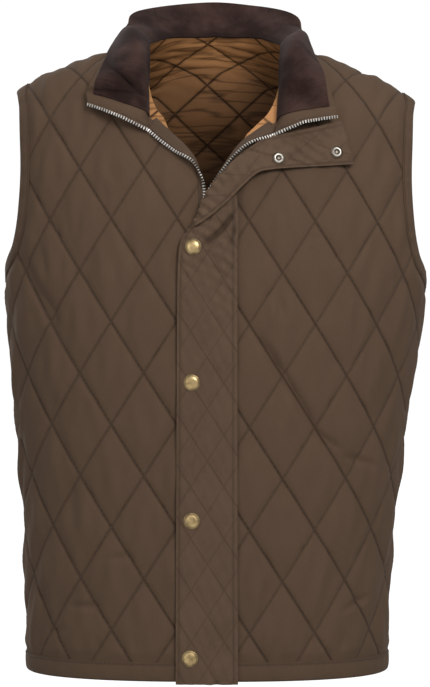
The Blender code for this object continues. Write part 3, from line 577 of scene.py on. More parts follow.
@dataclass
class Cut:
    """Pattern lines and outlines of the pieces."""

    form: BodyForm
    stations: int = 14
    fine: int = 90
    shoulder_points: int = 24
    front_points: int = 25
    back_points: int = 49
    seam_power: int = 8

    def armhole(self, face: Face, side: Side, inset: float) -> Array:
        """Line at a distance in from the armhole, from shoulder to underarm.

        Args:
            face: Half of the body.
            side: Wearer's side.
            inset: Distance in from the edge.

        Returns:
            Pattern places.
        """
        drop = LEFT_ARMHOLE_DROP if side is Side.LEFT else 0.0
        rows = row_curve(ARMHOLE, np.linspace(0.0, len(ARMHOLE) - 1.0, self.stations))
        x, z = side.value * rows[:, 0], rows[:, 1] - drop
        line = self.form.flat(face, x, z)
        run = unit(np.gradient(line, axis=0))
        moved = line + inset * side.value * np.stack((run[:, 1], -run[:, 0]), axis=-1)
        moved[0] = self.form.ridge(face, side.value * (ARMHOLE[0].across - inset))
        moved[-1] = (self.form.side_arc(face, side, z[-1] - inset), z[-1] - inset)
        places = np.linspace(0.0, self.stations - 1.0, self.fine)
        return np.stack([Curve(range(self.stations), moved[:, k]).at(places) for k in (0, 1)], axis=-1)

    def side_seam(self, face: Face, side: Side, low: float, high: float, inset: float) -> Array:
        """Line up the side seam."""
        heights = np.linspace(low, high, int((high - low) / EDGE_STEP))
        return np.stack((self.form.side_arc(face, side, heights) - side.value * inset, heights), axis=-1)

    def shoulder(self, face: Face, side: Side, inset: float) -> Array:
        """Line along the shoulder seam from the armhole towards the neck."""
        x = np.linspace(ARMHOLE[0].across - ARMHOLE_BAND, NECK_HALF + inset, self.shoulder_points)
        return self.form.ridge(face, side.value * x)

    def front_foot(self, side: Side, height: float) -> Array:
        """Pattern place of a front's zip edge at a height below the neck."""
        return np.array((float(self.form.arc_at(Face.FRONT, NECK_EDGES[side][0].across, height)), height))

    def neck_edge(self, side: Side, lip: Lip) -> Array:
        """Line up the turned front edge, its upper half carried into the opening by a lip.

        Args:
            side: Wearer's side.
            lip: Lip of the upper half.

        Returns:
            Pattern places, upwards.
        """
        rows = np.array(NECK_EDGES[side])
        x = rows[:, 0] - side.value * lip.reach * ease(np.linspace(-1.0, 1.0, len(rows))) ** lip.power
        return np.stack((self.form.arc_at(Face.FRONT, x, rows[:, 1]), rows[:, 1]), axis=-1)

    def front_neck(self, side: Side, inset: float, lip: Lip = NO_LIP) -> Array:
        """Line from the shoulder down the side of the neck to the turned edge, out to its lip.

        Args:
            side: Wearer's side.
            inset: Distance that the line is moved into the panel.
            lip: Lip at the lower end.

        Returns:
            Pattern places.
        """
        top = NECK_EDGES[side][-1]
        peak = float(self.form.ridge(Face.FRONT, np.array(side.value * (NECK_HALF + inset)))[1])
        share = np.linspace(0.0, 1.0, self.front_points)
        half = NECK_HALF + (abs(top.across) - NECK_HALF) * share + inset - lip.reach * share**LIP_RISE
        height = peak + (top.height - peak) * share
        return np.stack((self.form.arc_at(Face.FRONT, side.value * half, height), height), axis=-1)

    def back_neck(self, inset: float) -> Array:
        """Line round the back of the neck from left to right.

        Args:
            inset: Distance that the line is moved into the panel.

        Returns:
            Pattern places.
        """
        turn = np.linspace(0.0, math.pi, self.back_points)
        x = (NECK_HALF + inset) * np.cos(turn)
        peak = self.form.ridge(Face.BACK, np.copysign(NECK_HALF + inset, x))[:, 1]
        height = peak + (NECK_BACK_HEIGHT - inset - peak) * np.sin(turn)
        return np.stack((self.form.arc_at(Face.BACK, x, height), height), axis=-1)

    def half(self, face: Face, side: Side, seam: float, neck: float) -> Array:
        """Edge of a panel from the hem's side corner up the side, armhole and shoulder.

        Args:
            face: Half of the body.
            side: Wearer's side.
            seam: Distance in from the side seam.
            neck: Distance in from the neck.

        Returns:
            Pattern places, ending at the neck.
        """
        armhole = self.armhole(face, side, ARMHOLE_BAND)
        armhole[:, 0] -= side.value * seam * np.linspace(0.0, 1.0, len(armhole)) ** self.seam_power
        rise = self.side_seam(face, side, PANEL_FOOT, float(armhole[-1, 1]), seam)
        shoulder = self.shoulder(face, side, neck)
        return np.concatenate((rise[:-1], armhole[::-1], shoulder[1:]))

    def front(self, side: Side, seam: float, neck: float, lip: Lip) -> Array:
        """Closed outline of one front.

        Args:
            side: Wearer's side.
            seam: Distance in from the side seam.
            neck: Distance in from the neck.
            lip: How far the neck edge is carried into the opening.

        Returns:
            Corners, anticlockwise.
        """
        half = self.half(Face.FRONT, side, seam, neck)
        edge = self.neck_edge(side, lip)
        corner = self.front_foot(side, PANEL_FOOT)
        hem = even_line(np.array((corner, half[0])), int(abs(half[0, 0] - corner[0]) / EDGE_STEP))
        turned = even_line(edge[::-1], int(line_length(edge) / EDGE_STEP))
        zip_line = even_line(np.array((edge[0], corner)), int((edge[0, 1] - PANEL_FOOT) / EDGE_STEP))
        neck_line = self.front_neck(side, neck, lip)
        points = np.concatenate((hem[:-1], half, neck_line[1:-1], turned, zip_line[1:-1]))
        return points if side is Side.LEFT else points[::-1]

    def back(self, seam: float, neck: float) -> Array:
        """Closed outline of the back, anticlockwise.

        Args:
            seam: Inset at the side seams.
            neck: Inset at the neck.

        Returns:
            Pattern places.
        """
        left, right = (self.half(Face.BACK, side, seam, neck) for side in (Side.LEFT, Side.RIGHT))
        hem = even_line(np.array((right[0], left[0])), int((left[0, 0] - right[0, 0]) / EDGE_STEP))
        return np.concatenate((hem[:-1], left[:-1], self.back_neck(neck), right[::-1][1:-1]))


class Value:
    """Shader socket that takes part in Python expressions."""

    def __init__(self, graph: "Graph", socket: bpy.types.NodeSocket) -> None:
        """Keep the socket and the graph that it belongs to."""
        self.graph = graph
        self.socket = socket

    def math(self, operation: str, *others: "Value | float") -> "Value":
        """Result of a Math node with this socket first."""
        return self.graph.math(operation, self, *others)

    def __add__(self, other: "Value | float") -> "Value":
        """Sum."""
        return self.math("ADD", other)

    __radd__ = __add__

    def __mul__(self, other: "Value | float") -> "Value":
        """Product."""
        return self.math("MULTIPLY", other)

    __rmul__ = __mul__

    def __sub__(self, other: "Value | float") -> "Value":
        """Difference."""
        return self.math("SUBTRACT", other)

    def __rsub__(self, other: float) -> "Value":
        """Difference from a number."""
        return self.graph.math("SUBTRACT", other, self)

    def __truediv__(self, other: "Value | float") -> "Value":
        """Quotient."""
        return self.math("DIVIDE", other)

    def __rtruediv__(self, other: float) -> "Value":
        """Quotient of a number."""
        return self.graph.math("DIVIDE", other, self)

    def __pow__(self, other: "Value | float") -> "Value":
        """Power."""
        return self.math("POWER", other)

    def wave(self, pitch: float) -> "Value":
        """Sine with a wavelength."""
        return (self * (2.0 * math.pi / pitch)).math("SINE")


class Graph:
    """Node tree of one material, with its shader."""

    def __init__(self, name: str, roughness: float, metallic: float = 0.0) -> None:
        """Start a material.

        Args:
            name: Material name.
            roughness: The shader's roughness.
            metallic: The shader's metallic share.
        """
        self.material = bpy.data.materials.new(name)
        self.material.use_nodes = True
        self.tree = self.material.node_tree
        self.shader = self.tree.nodes["Principled BSDF"]
        self.constants({"Roughness": roughness, "Metallic": metallic})

    def constants(self, values: dict[str, object]) -> None:
        """Set the shader's own sockets."""
        for name, value in values.items():
            self.shader.inputs[name].default_value = value

    def node(self, kind: str, settings: dict[str, object], inputs: dict[str | int, object]) -> bpy.types.Node:
        """Add a node.

        Args:
            kind: Node type.
            settings: Its properties, set first.
            inputs: Socket values, or sockets to link.

        Returns:
            The node.
        """
        node = self.tree.nodes.new(kind)
        for name, value in settings.items():
            setattr(node, name, value)
        for key, value in inputs.items():
            self.feed(node.inputs[key], value)
        return node

    def feed(self, socket: bpy.types.NodeSocket, value: object) -> None:
        """Link a socket or set its value.

        Args:
            socket: Socket to feed.
            value: Value to link, or a constant.
        """
        if isinstance(value, Value):
            self.tree.links.new(value.socket, socket)
        else:
            socket.default_value = value

    def math(self, operation: str, *values: "Value | float") -> Value:
        """Result of a Math node."""
        node = self.node("ShaderNodeMath", {"operation": operation}, dict(enumerate(values)))
        return Value(self, node.outputs[0])

    def mix(self, share: Value, low: object, high: object) -> Value:
        """Colour between two, by a share.

        Args:
            share: Share of the second.
            low: First colour.
            high: Second colour.

        Returns:
            The mixed colour.
        """
        settings = {"data_type": "RGBA", "clamp_factor": True}
        node = self.node("ShaderNodeMix", settings, {0: share, 6: low, 7: high})
        return Value(self, node.outputs[2])

    def attribute(self, name: str, output: str = "Fac") -> Value:
        """Value that the mesh carries."""
        node = self.node("ShaderNodeAttribute", {"attribute_name": name}, {})
        return Value(self, node.outputs[output])

    def axes(self, vector: Value) -> list[Value]:
        """The three parts of a vector."""
        node = self.node("ShaderNodeSeparateXYZ", {}, {0: vector})
        return [Value(self, output) for output in node.outputs]

    def place(self) -> Value:
        """Point on the object."""
        return Value(self, self.node("ShaderNodeTexCoord", {}, {}).outputs["Object"])

    def noise(self, vector: Value, scale: float, detail: float = 2.0) -> Value:
        """Even noise from 0 to 1."""
        node = self.node("ShaderNodeTexNoise", {}, {"Vector": vector, "Scale": scale, "Detail": detail})
        return Value(self, node.outputs[0])

    def stretched(self, vector: Value, scale: Colour) -> Value:
        """Vector with each part scaled."""
        node = self.node("ShaderNodeVectorMath", {"operation": "MULTIPLY"}, {0: vector, 1: scale})
        return Value(self, node.outputs[0])

    def bump(self, height: Value, distance: float, strength: float) -> None:
        """Feed the shader's normal from a height."""
        node = self.node("ShaderNodeBump", {}, {"Strength": strength, "Distance": distance, "Height": height})
        self.feed(self.shader.inputs["Normal"], Value(self, node.outputs[0]))

    def colour(self, value: Value) -> None:
        """Feed the shader's base colour."""
        self.feed(self.shader.inputs["Base Color"], value)


def rgba(colour: Colour, gain: float = 1.0) -> tuple[float, float, float, float]:
    """Colour with a gain and full cover."""
    return (colour[0] * gain, colour[1] * gain, colour[2] * gain, 1.0)


@dataclass(frozen=True)
class ClothFinish:
    """Woven cotton, with painted shade in the lines that are sewn in and wherever the mesh's groove attribute
    asks for it.
    """

    name: str
    colour: Colour
    # Colour of the painted shade.
    shade: Colour
    thread: float = 0.0009
    mottle: float = 0.16
    roughness: float = 0.85
    grain: float = 0.35
    gloss: float = 0.08
    # Strength of thin dark lines painted as shade in the lining's wrinkle creases.
    painted_crease_shade: float = 0.0
    quilt: "Quilt | None" = None
    cloud_scale: float = 26.0
    slub_scale: float = 700.0
    slub_run: Colour = (1.0, 1.0, 0.28)
    sewn_scale: float = 90.0
    # Stretch and width of those painted crease shade lines.
    painted_crease_run: Colour = (7.0, 52.0, 1.0)
    painted_crease_width: float = 0.045
    weave_depth: float = 0.0001

    @cache
    def material(self) -> Material:
        """Make the cloth's material once.

        Returns:
            A material that reads the mesh's groove and pattern.
        """
        graph = Graph(self.name, self.roughness)
        graph.constants({"Specular IOR Level": self.gloss})
        place = graph.place()
        pattern = graph.attribute("pattern", "Vector")
        across, up, _ = graph.axes(pattern)
        cloudy = graph.noise(place, self.cloud_scale, 3.0)
        slubs = graph.noise(graph.stretched(place, self.slub_run), self.slub_scale)
        dark, light = (rgba(self.colour, 1.0 + sign * self.mottle) for sign in (-1.0, 1.0))
        cloth = graph.mix(cloudy * 0.6 + slubs * 0.4, dark, light)
        # Share of the colour kept once painted shade is taken away: from the mesh, from the quilting lines
        # and from the crease lines.
        plain = 1.0 - graph.attribute("groove")
        if self.quilt:
            uneven = graph.noise(place, self.sewn_scale) * 0.8 + 0.6
            plain = plain * (1.0 - self.quilt.lines(graph, across, up) * uneven)
        # Thin wavy dark lines: painted shade in the lining's wrinkle creases.
        if self.painted_crease_shade:
            swing = graph.noise(graph.stretched(pattern, self.painted_crease_run), 1.0, 2.5) - 0.5
            line = (1.0 - swing.math("ABSOLUTE") / self.painted_crease_width).math("MAXIMUM", 0.0)
            plain = plain * (1.0 - line * self.painted_crease_shade)
        graph.colour(graph.mix(plain, rgba(self.shade), cloth))
        weave = across.wave(self.thread) * 0.5 + up.wave(self.thread) * 0.5 + slubs * 1.2
        graph.bump(weave, self.weave_depth, self.grain)
        return graph.material

    def quilted(self, quilt: "Quilt") -> "ClothFinish":
        """The same cloth with painted shade along the sewn lines of a quilt."""
        return replace(self, quilt=quilt)


@dataclass(frozen=True)
class CorduroyFinish:
    """Fine corduroy: ribs running from seam to edge, with a nap that lies unevenly."""

    name: str
    colour: Colour
    brushed: Colour
    rib: float = 0.0024
    roughness: float = 0.95
    gloss: float = 0.04
    sheen: float = 0.04
    sheen_roughness: float = 0.45
    nap_scale: float = 34.0
    streak_scale: float = 420.0
    streak_run: Colour = (1.0, 0.12, 1.0)
    pile_scale: float = 900.0
    rib_depth: float = 0.0004
    rib_strength: float = 0.4

    @cache
    def material(self) -> Material:
        """Make the corduroy's material once.

        Returns:
            A material that reads the mesh's groove and pattern.
        """
        graph = Graph(self.name, self.roughness)
        graph.constants({"Sheen Weight": self.sheen, "Sheen Roughness": self.sheen_roughness})
        graph.constants({"Specular IOR Level": self.gloss})
        place, pattern = graph.place(), graph.attribute("pattern", "Vector")
        rib = graph.axes(pattern)[0].wave(self.rib) * 0.5 + 0.5
        nap = graph.noise(place, self.nap_scale, 4.0)
        streak = graph.noise(graph.stretched(pattern, self.streak_run), self.streak_scale)
        pile = graph.noise(place, self.pile_scale)
        brushed = (nap - 0.42) * 2.6 + (streak - 0.45) * 0.6 + pile * 0.12
        light = graph.mix(brushed, rgba(self.colour), rgba(self.brushed))
        # Painted shade: the corduroy falls to 0.4 of its colour where its groove attribute asks.
        graph.colour(graph.mix(graph.attribute("groove"), light, rgba(self.colour, 0.4)))
        graph.bump(rib * 0.5 + streak * 0.7 + pile * 0.4, self.rib_depth, self.rib_strength)
        return graph.material


@dataclass(frozen=True)
class MetalFinish:
    """Metal with worn and tarnished patches."""

    name: str
    colour: Colour
    tarnish: Colour
    roughness: float = 0.34
    wear: float = 160.0

    @cache
    def material(self) -> Material:
        """Make the metal's material once.

        Returns:
            The material.
        """
        graph = Graph(self.name, self.roughness, 1.0)
        patches = graph.noise(graph.place(), self.wear, 4.0)
        graph.colour(graph.mix((patches - 0.42) * 3.0, rgba(self.colour), rgba(self.tarnish)))
        graph.feed(graph.shader.inputs["Roughness"], patches * 0.4 + (self.roughness - 0.2))
        return graph.material


@dataclass(frozen=True)
class PlainFinish:
    """Even colour for thread."""

    name: str
    colour: Colour
    roughness: float = 0.8
    grain_scale: float = 500.0

    @cache
    def material(self) -> Material:
        """Make the material once, with a faint grain.

        Returns:
            The material.
        """
        graph = Graph(self.name, self.roughness)
        grain = graph.noise(graph.place(), self.grain_scale)
        graph.colour(graph.mix(grain, rgba(self.colour, 0.94), rgba(self.colour)))
        return graph.material


@dataclass(frozen=True)
class GlowFinish:
    """Pale studio surface that shines a little by itself."""

    name: str
    colour: Colour
    glow: float
    roughness: float = 0.9

    @cache
    def material(self) -> Material:
        """Make the material once.

        Returns:
            The material.
        """
        graph = Graph(self.name, self.roughness)
        graph.constants({"Base Color": rgba(self.colour), "Emission Color": rgba((1.0, 1.0, 1.0))})
        graph.constants({"Emission Strength": self.glow})
        return graph.material


# Each cloth's second colour is its painted shade, mixed in by its groove attribute and its quilting lines.
SHELL = ClothFinish("quilted_cotton", (0.084, 0.052, 0.0325), (0.030, 0.0165, 0.0092))
BAND = ClothFinish("plain_cotton", (0.082, 0.051, 0.0320), (0.036, 0.0205, 0.0118))
FLAP_CLOTH = ClothFinish("flap_cotton", (0.090, 0.057, 0.0365), (0.038, 0.0220, 0.0130), mottle=0.3)
# The lining's near black second colour is its painted shade: in its quilting and crease lines, and lower down
# inside the garment.
LINING = ClothFinish(
    "tan_lining",
    (0.43, 0.206, 0.082),
    (0.006, 0.0022, 0.0008),
    roughness=0.6,
    mottle=0.2,
    grain=0.15,
    gloss=0.05,
    painted_crease_shade=0.6,
)
TAPE = ClothFinish("zip_tape", (0.074, 0.047, 0.031), (0.026, 0.016, 0.011))
CORDUROY = CorduroyFinish("corduroy", (0.020, 0.0108, 0.0090), (0.060, 0.0335, 0.0280))
BRASS = MetalFinish("aged_brass", (0.29, 0.21, 0.103), (0.085, 0.058, 0.028), 0.36)
NICKEL = MetalFinish("nickel", (0.40, 0.385, 0.355), (0.16, 0.15, 0.135), 0.34)
ZINC = MetalFinish("zip_metal", (0.46, 0.44, 0.41), (0.20, 0.18, 0.16), 0.4)
# Blackened metal on the caps' rims and hollows; on the sockets the same dark finish is painted shade.
BLACKENED_AND_PAINTED_SHADE = MetalFinish("blackened_metal", (0.060, 0.045, 0.032), (0.025, 0.018, 0.013), 0.5)
THREAD = PlainFinish("thread", (0.040, 0.0245, 0.0155))
FLOOR = GlowFinish("floor", (0.9, 0.9, 0.9), 0.7)
BACKDROP = GlowFinish("backdrop", (0.0, 0.0, 0.0), 1.02)


def signed_volume(points: Array, faces: list[tuple[int, ...]]) -> float:
    """Volume inside closed faces, below zero where they point in.

    Args:
        points: Corners.
        faces: Corner numbers of each face.

    Returns:
        The volume.
    """
    corners = np.array([(f[0], f[k], f[k + 1]) for f in faces for k in range(1, len(f) - 1)])
    a, b, c = (points[corners[:, k]] for k in range(3))
    return float(np.einsum("ij,ij->i", a, np.cross(b, c)).sum() / 6.0)


def make_mesh(
    name: str,
    points: Array,
    faces: list[tuple[int, ...]],
    material: Material,
    pattern: Array | None = None,
    groove: Array | None = None,
    sharp: float = 55.0,
) -> Piece:
    """Make a named closed mesh, its faces pointing out.

    Args:
        name: Object name.
        points: Vertices.
        faces: Corner numbers of each face.
        material: Its finish.
        pattern: Flat place of each vertex, for the weave.
        groove: Painted shade at each vertex, 0 to 1, mostly in sewn lines and creases.
        sharp: Angle in degrees above which an edge stays sharp.

    Returns:
        The object, in the scene.
    """
    if signed_volume(points, faces) < 0.0:
        faces = [tuple(reversed(f)) for f in faces]
    mesh = bpy.data.meshes.new(name)
    mesh.from_pydata(points.tolist(), [], faces)
    if pattern is not None:
        flat = np.zeros((len(points), 3), dtype=np.float32)
        flat[:, :2] = pattern
        mesh.attributes.new("pattern", "FLOAT_VECTOR", "POINT").data.foreach_set("vector", flat.ravel())
    # Painted shade, which the finishes read to darken their colour.
    if groove is not None:
        depth = np.asarray(groove, dtype=np.float32)
        mesh.attributes.new("groove", "FLOAT", "POINT").data.foreach_set("value", depth)
    mesh.shade_smooth()
    mesh.set_sharp_from_angle(angle=math.radians(sharp))
    mesh.materials.append(material)
    made = bpy.data.objects.new(name, mesh)
    bpy.context.scene.collection.objects.link(made)
    return made


def cut_wall(
    name: str,
    over: Array,
    under: Array,
    triangles: Array,
    material: Material,
    pattern: Array,
    groove: Array,
) -> Piece:
    """Close a cut piece of cloth between its two faces.

    Args:
        name: Object name.
        over: Points of the upper face.
        under: Points of the lower face.
        triangles: Triangles of the cut, by point number.
        material: Its finish.
        pattern: Flat place of each point.
        groove: Painted shade at each point, 0 to 1, mostly in sewn lines and creases.

    Returns:
        The object.
    """
    count = len(over)
    edges = np.concatenate([triangles[:, (k, (k + 1) % 3)] for k in range(3)])
    codes = edges[:, 0] * count + edges[:, 1]
    rim = edges[~np.isin(codes, edges[:, 1] * count + edges[:, 0])]
    faces = [tuple(t) for t in triangles.tolist()]
    faces += [tuple(t) for t in (triangles[:, ::-1] + count).tolist()]
    faces += [(b, a, a + count, b + count) for a, b in rim.tolist()]
    points = np.concatenate((over, under))
    return make_mesh(name, points, faces, material, np.tile(pattern, (2, 1)), np.tile(groove, 2))


def grid_wall(
    name: str,
    middle: Array,
    wall: float,
    material: Material,
    relief: Array | float = 0.0,
    groove: Array | None = None,
    looped: bool = False,
    turned: bool = False,
) -> Piece:
    """Make a closed sheet on a grid of points.

    Args:
        name: Object name.
        middle: Points of the cloth's middle, by row and column.
        wall: Thickness.
        material: Its finish.
        relief: How far each point is moved out along the grid's normal.
        groove: Painted shade at each point, 0 to 1, mostly in sewn lines and creases.
        looped: Whether the last row meets the first.
        turned: Whether out is the other way.

    Returns:
        The object.
    """
    rows, columns = middle.shape[:2]
    out = grid_normals(middle, looped) * (-1.0 if turned else 1.0)
    raised = middle + np.broadcast_to(relief, (rows, columns))[..., None] * out
    count = rows * columns
    ids = np.arange(count).reshape(rows, columns)
    if looped:
        ids = np.concatenate((ids, ids[:1]))
    a, b, c, d = ids[:-1, :-1], ids[1:, :-1], ids[1:, 1:], ids[:-1, 1:]
    quads = np.stack((a, b, c, d), axis=-1).reshape(-1, 4)
    border = [np.stack((ids[:-1, k], ids[1:, k]), axis=-1) for k in (0, -1)]
    if not looped:
        border += [np.stack((ids[k, :-1], ids[k, 1:]), axis=-1) for k in (0, -1)]
    faces = [tuple(q) for q in quads.tolist()] + [tuple(q) for q in (quads[:, ::-1] + count).tolist()]
    known = {(q[k], q[(k + 1) % 4]) for q in quads.tolist() for k in range(4)}
    for start, end in np.concatenate(border).tolist():
        if (start, end) not in known:
            start, end = end, start
        faces.append((end, start, start + count, end + count))
    pattern = np.stack([run_lengths(middle, axis) for axis in (0, 1)], axis=-1).reshape(-1, 2)
    points = np.stack((raised + 0.5 * wall * out, raised - 0.5 * wall * out)).reshape(-1, 3)
    # depth here is each point's painted shade.
    depth = np.zeros(count) if groove is None else np.broadcast_to(groove, (rows, columns)).ravel()
    return make_mesh(name, points, faces, material, np.tile(pattern, (2, 1)), np.tile(depth, 2))


def grid_normals(grid: Array, looped: bool = False) -> Array:
    """Unit directions square to a grid of points.

    Args:
        grid: Points by row and column.
        looped: Whether the last row joins the first.

    Returns:
        One for each point.
    """
    if looped:
        grid = np.concatenate((grid[-1:], grid, grid[:1]))
    out = unit(np.cross(np.gradient(grid, axis=0), np.gradient(grid, axis=1)))
    return out[1:-1] if looped else out


def grid_flat(grid: Array) -> tuple[tuple[float, float], float]:
    """Flat size of the cloth on a grid.

    Args:
        grid: Points by row and column.

    Returns:
        Its longest width and length, and its area.
    """
    down = np.linalg.norm(np.diff(grid, axis=0), axis=2).sum(axis=0)
    along = np.linalg.norm(np.diff(grid, axis=1), axis=2).sum(axis=1)
    a, b, c, d = grid[:-1, :-1], grid[1:, :-1], grid[1:, 1:], grid[:-1, 1:]
    area = 0.5 * np.linalg.norm(np.cross(c - a, d - b), axis=2).sum()
    return (float(along.max()), float(down.max())), float(area)


@dataclass(frozen=True)
class Sewing:
    """Thread lying on the cloth as a row of stitches."""

    pitch: float = 0.0036
    length: float = 0.0026
    width: float = 0.0006
    proud: float = 0.00025

    def along(self, line: Array, out: Array) -> tuple[Array, Array, Array]:
        """Share a line into stitches.

        Args:
            line: Points on the cloth.
            out: Outward direction at each point.

        Returns:
            The start, end and outward direction of each stitch.
        """
        count = max(2, int(line_length(line) / self.pitch))
        both = even_line(np.concatenate((line, out), axis=1), 4 * count + 1)
        share = 0.5 * self.length / self.pitch
        points, ways = both[:, :3], both[:, 3:]
        middle = points[2::4][:count]
        half = share * self.pitch * unit(points[3::4][:count] - points[1::4][:count])
        return middle - half, middle + half, ways[2::4][:count]

    def mesh(self, name: str, rows: list[tuple[Array, Array, Array]]) -> Piece:
        """Make rows of stitches as one mesh.

        Args:
            name: Object name.
            rows: Starts, ends and outward directions of each row's stitches.

        Returns:
            The object.
        """
        start, end, out = (np.concatenate([row[k] for row in rows]) for k in range(3))
        run = end - start
        side = unit(np.cross(run, out))
        rise = unit(np.cross(side, run))
        half = 0.5 * self.width
        corners = [start, end]
        for share in (0.25, 0.75):
            spine = start + share * run + self.proud * rise
            corners += [spine + half * side, spine + half * rise, spine - half * side, spine - half * rise]
        points = np.stack(corners, axis=1)
        shape = []
        for k in range(4):
            after = (k + 1) % 4
            shape += [(0, 2 + after, 2 + k), (1, 6 + k, 6 + after)]
            shape += [(2 + k, 2 + after, 6 + after), (2 + k, 6 + after, 6 + k)]
        base = np.arange(len(points))[:, None, None] * points.shape[1]
        faces = [tuple(f) for f in (np.array(shape)[None] + base).reshape(-1, 3).tolist()]
        return make_mesh(name, points.reshape(-1, 3), faces, THREAD.material())


def place_piece(piece: Piece, slot: str, *nodes: str) -> Piece:
    """Fix a piece to the garment in place of CAD nodes and log it.

    Args:
        piece: The finished piece.
        slot: Name of a material slot; not used.
        nodes: CAD nodes that it stands for.

    Returns:
        The piece.
    """
    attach(piece, BODY)
    if nodes:
        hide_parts(*nodes)
    LOG.info("%s: %d faces", piece.name, len(piece.data.polygons))
    return piece


def place_strip(piece: Piece, slot: str, node: str, grid: Array) -> None:
    """Fix a folded strip of cloth to the garment; its flat size and area are worked out but not kept.

    Args:
        piece: The finished piece.
        slot: Name of a material slot; not used, only passed on to place_piece.
        node: CAD node that it stands for.
        grid: Middle of the cloth, by row and column.
    """
    place_piece(piece, slot, node)
    size, area = grid_flat(grid)


@dataclass(frozen=True)
class Quilt:
    """Diamond quilting: one crossing of its lines, the diamond's size, steps a side, and the painted shade of
    its falling and rising lines and their width.
    """

    along: float
    height: float
    width: float
    tall: float
    steps: int
    # Painted shade in the falling and in the rising lines, and the lines' width.
    falling: float = 1.0
    rising: float = 0.65
    line_width: float = 0.0019

    def phases(self, spots: Array) -> tuple[Array, Array]:
        """Line numbers, with parts, of the falling and the rising lines.

        Args:
            spots: Pattern places.

        Returns:
            Both numbers at each place.
        """
        across = (spots[..., 0] - self.along) / self.width
        up = (spots[..., 1] - self.height) / self.tall
        return across + up, across - up

    def puff(self, spots: Array) -> Array:
        """Fullness: 0 on the lines, 1 between them."""
        falling, rising = self.phases(spots)
        return np.abs(np.sin(math.pi * falling) * np.sin(math.pi * rising)) ** 0.45

    def gaps(self, spots: Array) -> list[Array]:
        """Distance to the nearest falling and rising line."""
        apart = 1.0 / math.hypot(1.0 / self.width, 1.0 / self.tall)
        return [apart * np.abs(phase - np.round(phase)) for phase in self.phases(spots)]

    def groove(self, spots: Array) -> Array:
        """Painted shade of the sewn lines at each place, 0 to 1."""
        falling, rising = (np.exp(-((gap / self.line_width) ** 2)) for gap in self.gaps(spots))
        return np.maximum(self.falling * falling, self.rising * rising)

    def lines(self, graph: Graph, across: Value, up: Value) -> Value:
        """Painted shade of the sewn lines at a point of the cloth, for its shader.

        Args:
            graph: The cloth's node tree.
            across: Its pattern place along the cloth.
            up: Its pattern place in height.

        Returns:
            0 to 1.
        """
        along, rise = (across - self.along) / self.width, (up - self.height) / self.tall
        reach = self.line_width * math.hypot(1.0 / self.width, 1.0 / self.tall)
        families = ((along + rise, self.falling), (along - rise, self.rising))
        near = [(1.0 - phase.math("PINGPONG", 0.5) / reach) * depth for phase, depth in families]
        return graph.math("MAXIMUM", *near).math("MAXIMUM", 0.0)

    def pucker(self, spots: Array, pitch: float = 0.0115, reach: float = 0.0045) -> Array:
        """Short gathers square to the lines, fading away from them.

        Args:
            spots: Pattern places.
            pitch: Length of a gather.
            reach: Distance it fades over.

        Returns:
            One height for each place.
        """
        side = 0.5 * math.hypot(self.width, self.tall)
        phases, gaps = self.phases(spots), self.gaps(spots)
        total = np.zeros(spots.shape[:-1])
        for along, line, gap in ((phases[1], phases[0], gaps[0]), (phases[0], phases[1], gaps[1])):
            turn = 2.0 * math.pi * along * side / pitch + 2.4 * np.round(line)
            total += np.exp(-gap / reach) * np.sin(turn + 1.3 * np.sin(0.37 * turn))
        return total

    def lattice(self, low: Array, high: Array) -> Array:
        """Places on and between the lines that lie in a box.

        Args:
            low: Lower corner of the box.
            high: Upper corner.

        Returns:
            Pattern places.
        """
        size = high - low
        reach = int(self.steps * (size[0] / self.width + size[1] / self.tall)) + 2 * self.steps
        i, j = np.meshgrid(np.arange(-reach, reach + 1), np.arange(-reach, reach + 1))
        along = self.along + 0.5 * self.width * (i + j) / self.steps
        height = self.height + 0.5 * self.tall * (i - j) / self.steps
        spots = np.stack((along.ravel(), height.ravel()), axis=-1)
        return spots[np.all((spots > low) & (spots < high), axis=1)]

    def runs(self, outline: Array, margin: float, step: float = 0.002) -> list[Array]:
        """Pieces of the lines that lie inside an outline.

        Args:
            outline: Corners of the panel.
            margin: Distance kept from its edge.
            step: Spacing of the points.

        Returns:
            Pattern places of each piece.
        """
        low, high = outline.min(axis=0), outline.max(axis=0)
        corners = np.array([(x, z) for x in (low[0], high[0]) for z in (low[1], high[1])])
        ends = [(int(np.floor(phase.min())), int(np.ceil(phase.max()))) for phase in self.phases(corners)]
        lines = []
        for family in (0, 1):
            others = np.arange(*ends[1 - family], step / (0.5 * math.hypot(self.width, self.tall)))
            for number in range(ends[family][0], ends[family][1] + 1):
                first, second = (number, others) if family == 0 else (others, number)
                along = self.along + 0.5 * self.width * (first + second)
                height = self.height + 0.5 * self.tall * (first - second)
                lines.append(np.stack((along, height), axis=-1))
        spots = np.concatenate(lines)
        closed = np.concatenate((outline, outline[:1]))
        near = np.all((spots > low) & (spots < high), axis=1)
        near[near] = is_inside(spots[near], outline)
        near[near] = line_gap(spots[near], closed) > margin
        pieces, start = [], 0
        for line in lines:
            kept = near[start : start + len(line)].astype(int)
            turns = np.flatnonzero(np.diff(np.concatenate(([0], kept, [0]))))
            pieces += [line[a:b] for a, b in zip(turns[::2], turns[1::2]) if b - a > 4]
            start += len(line)
        return pieces


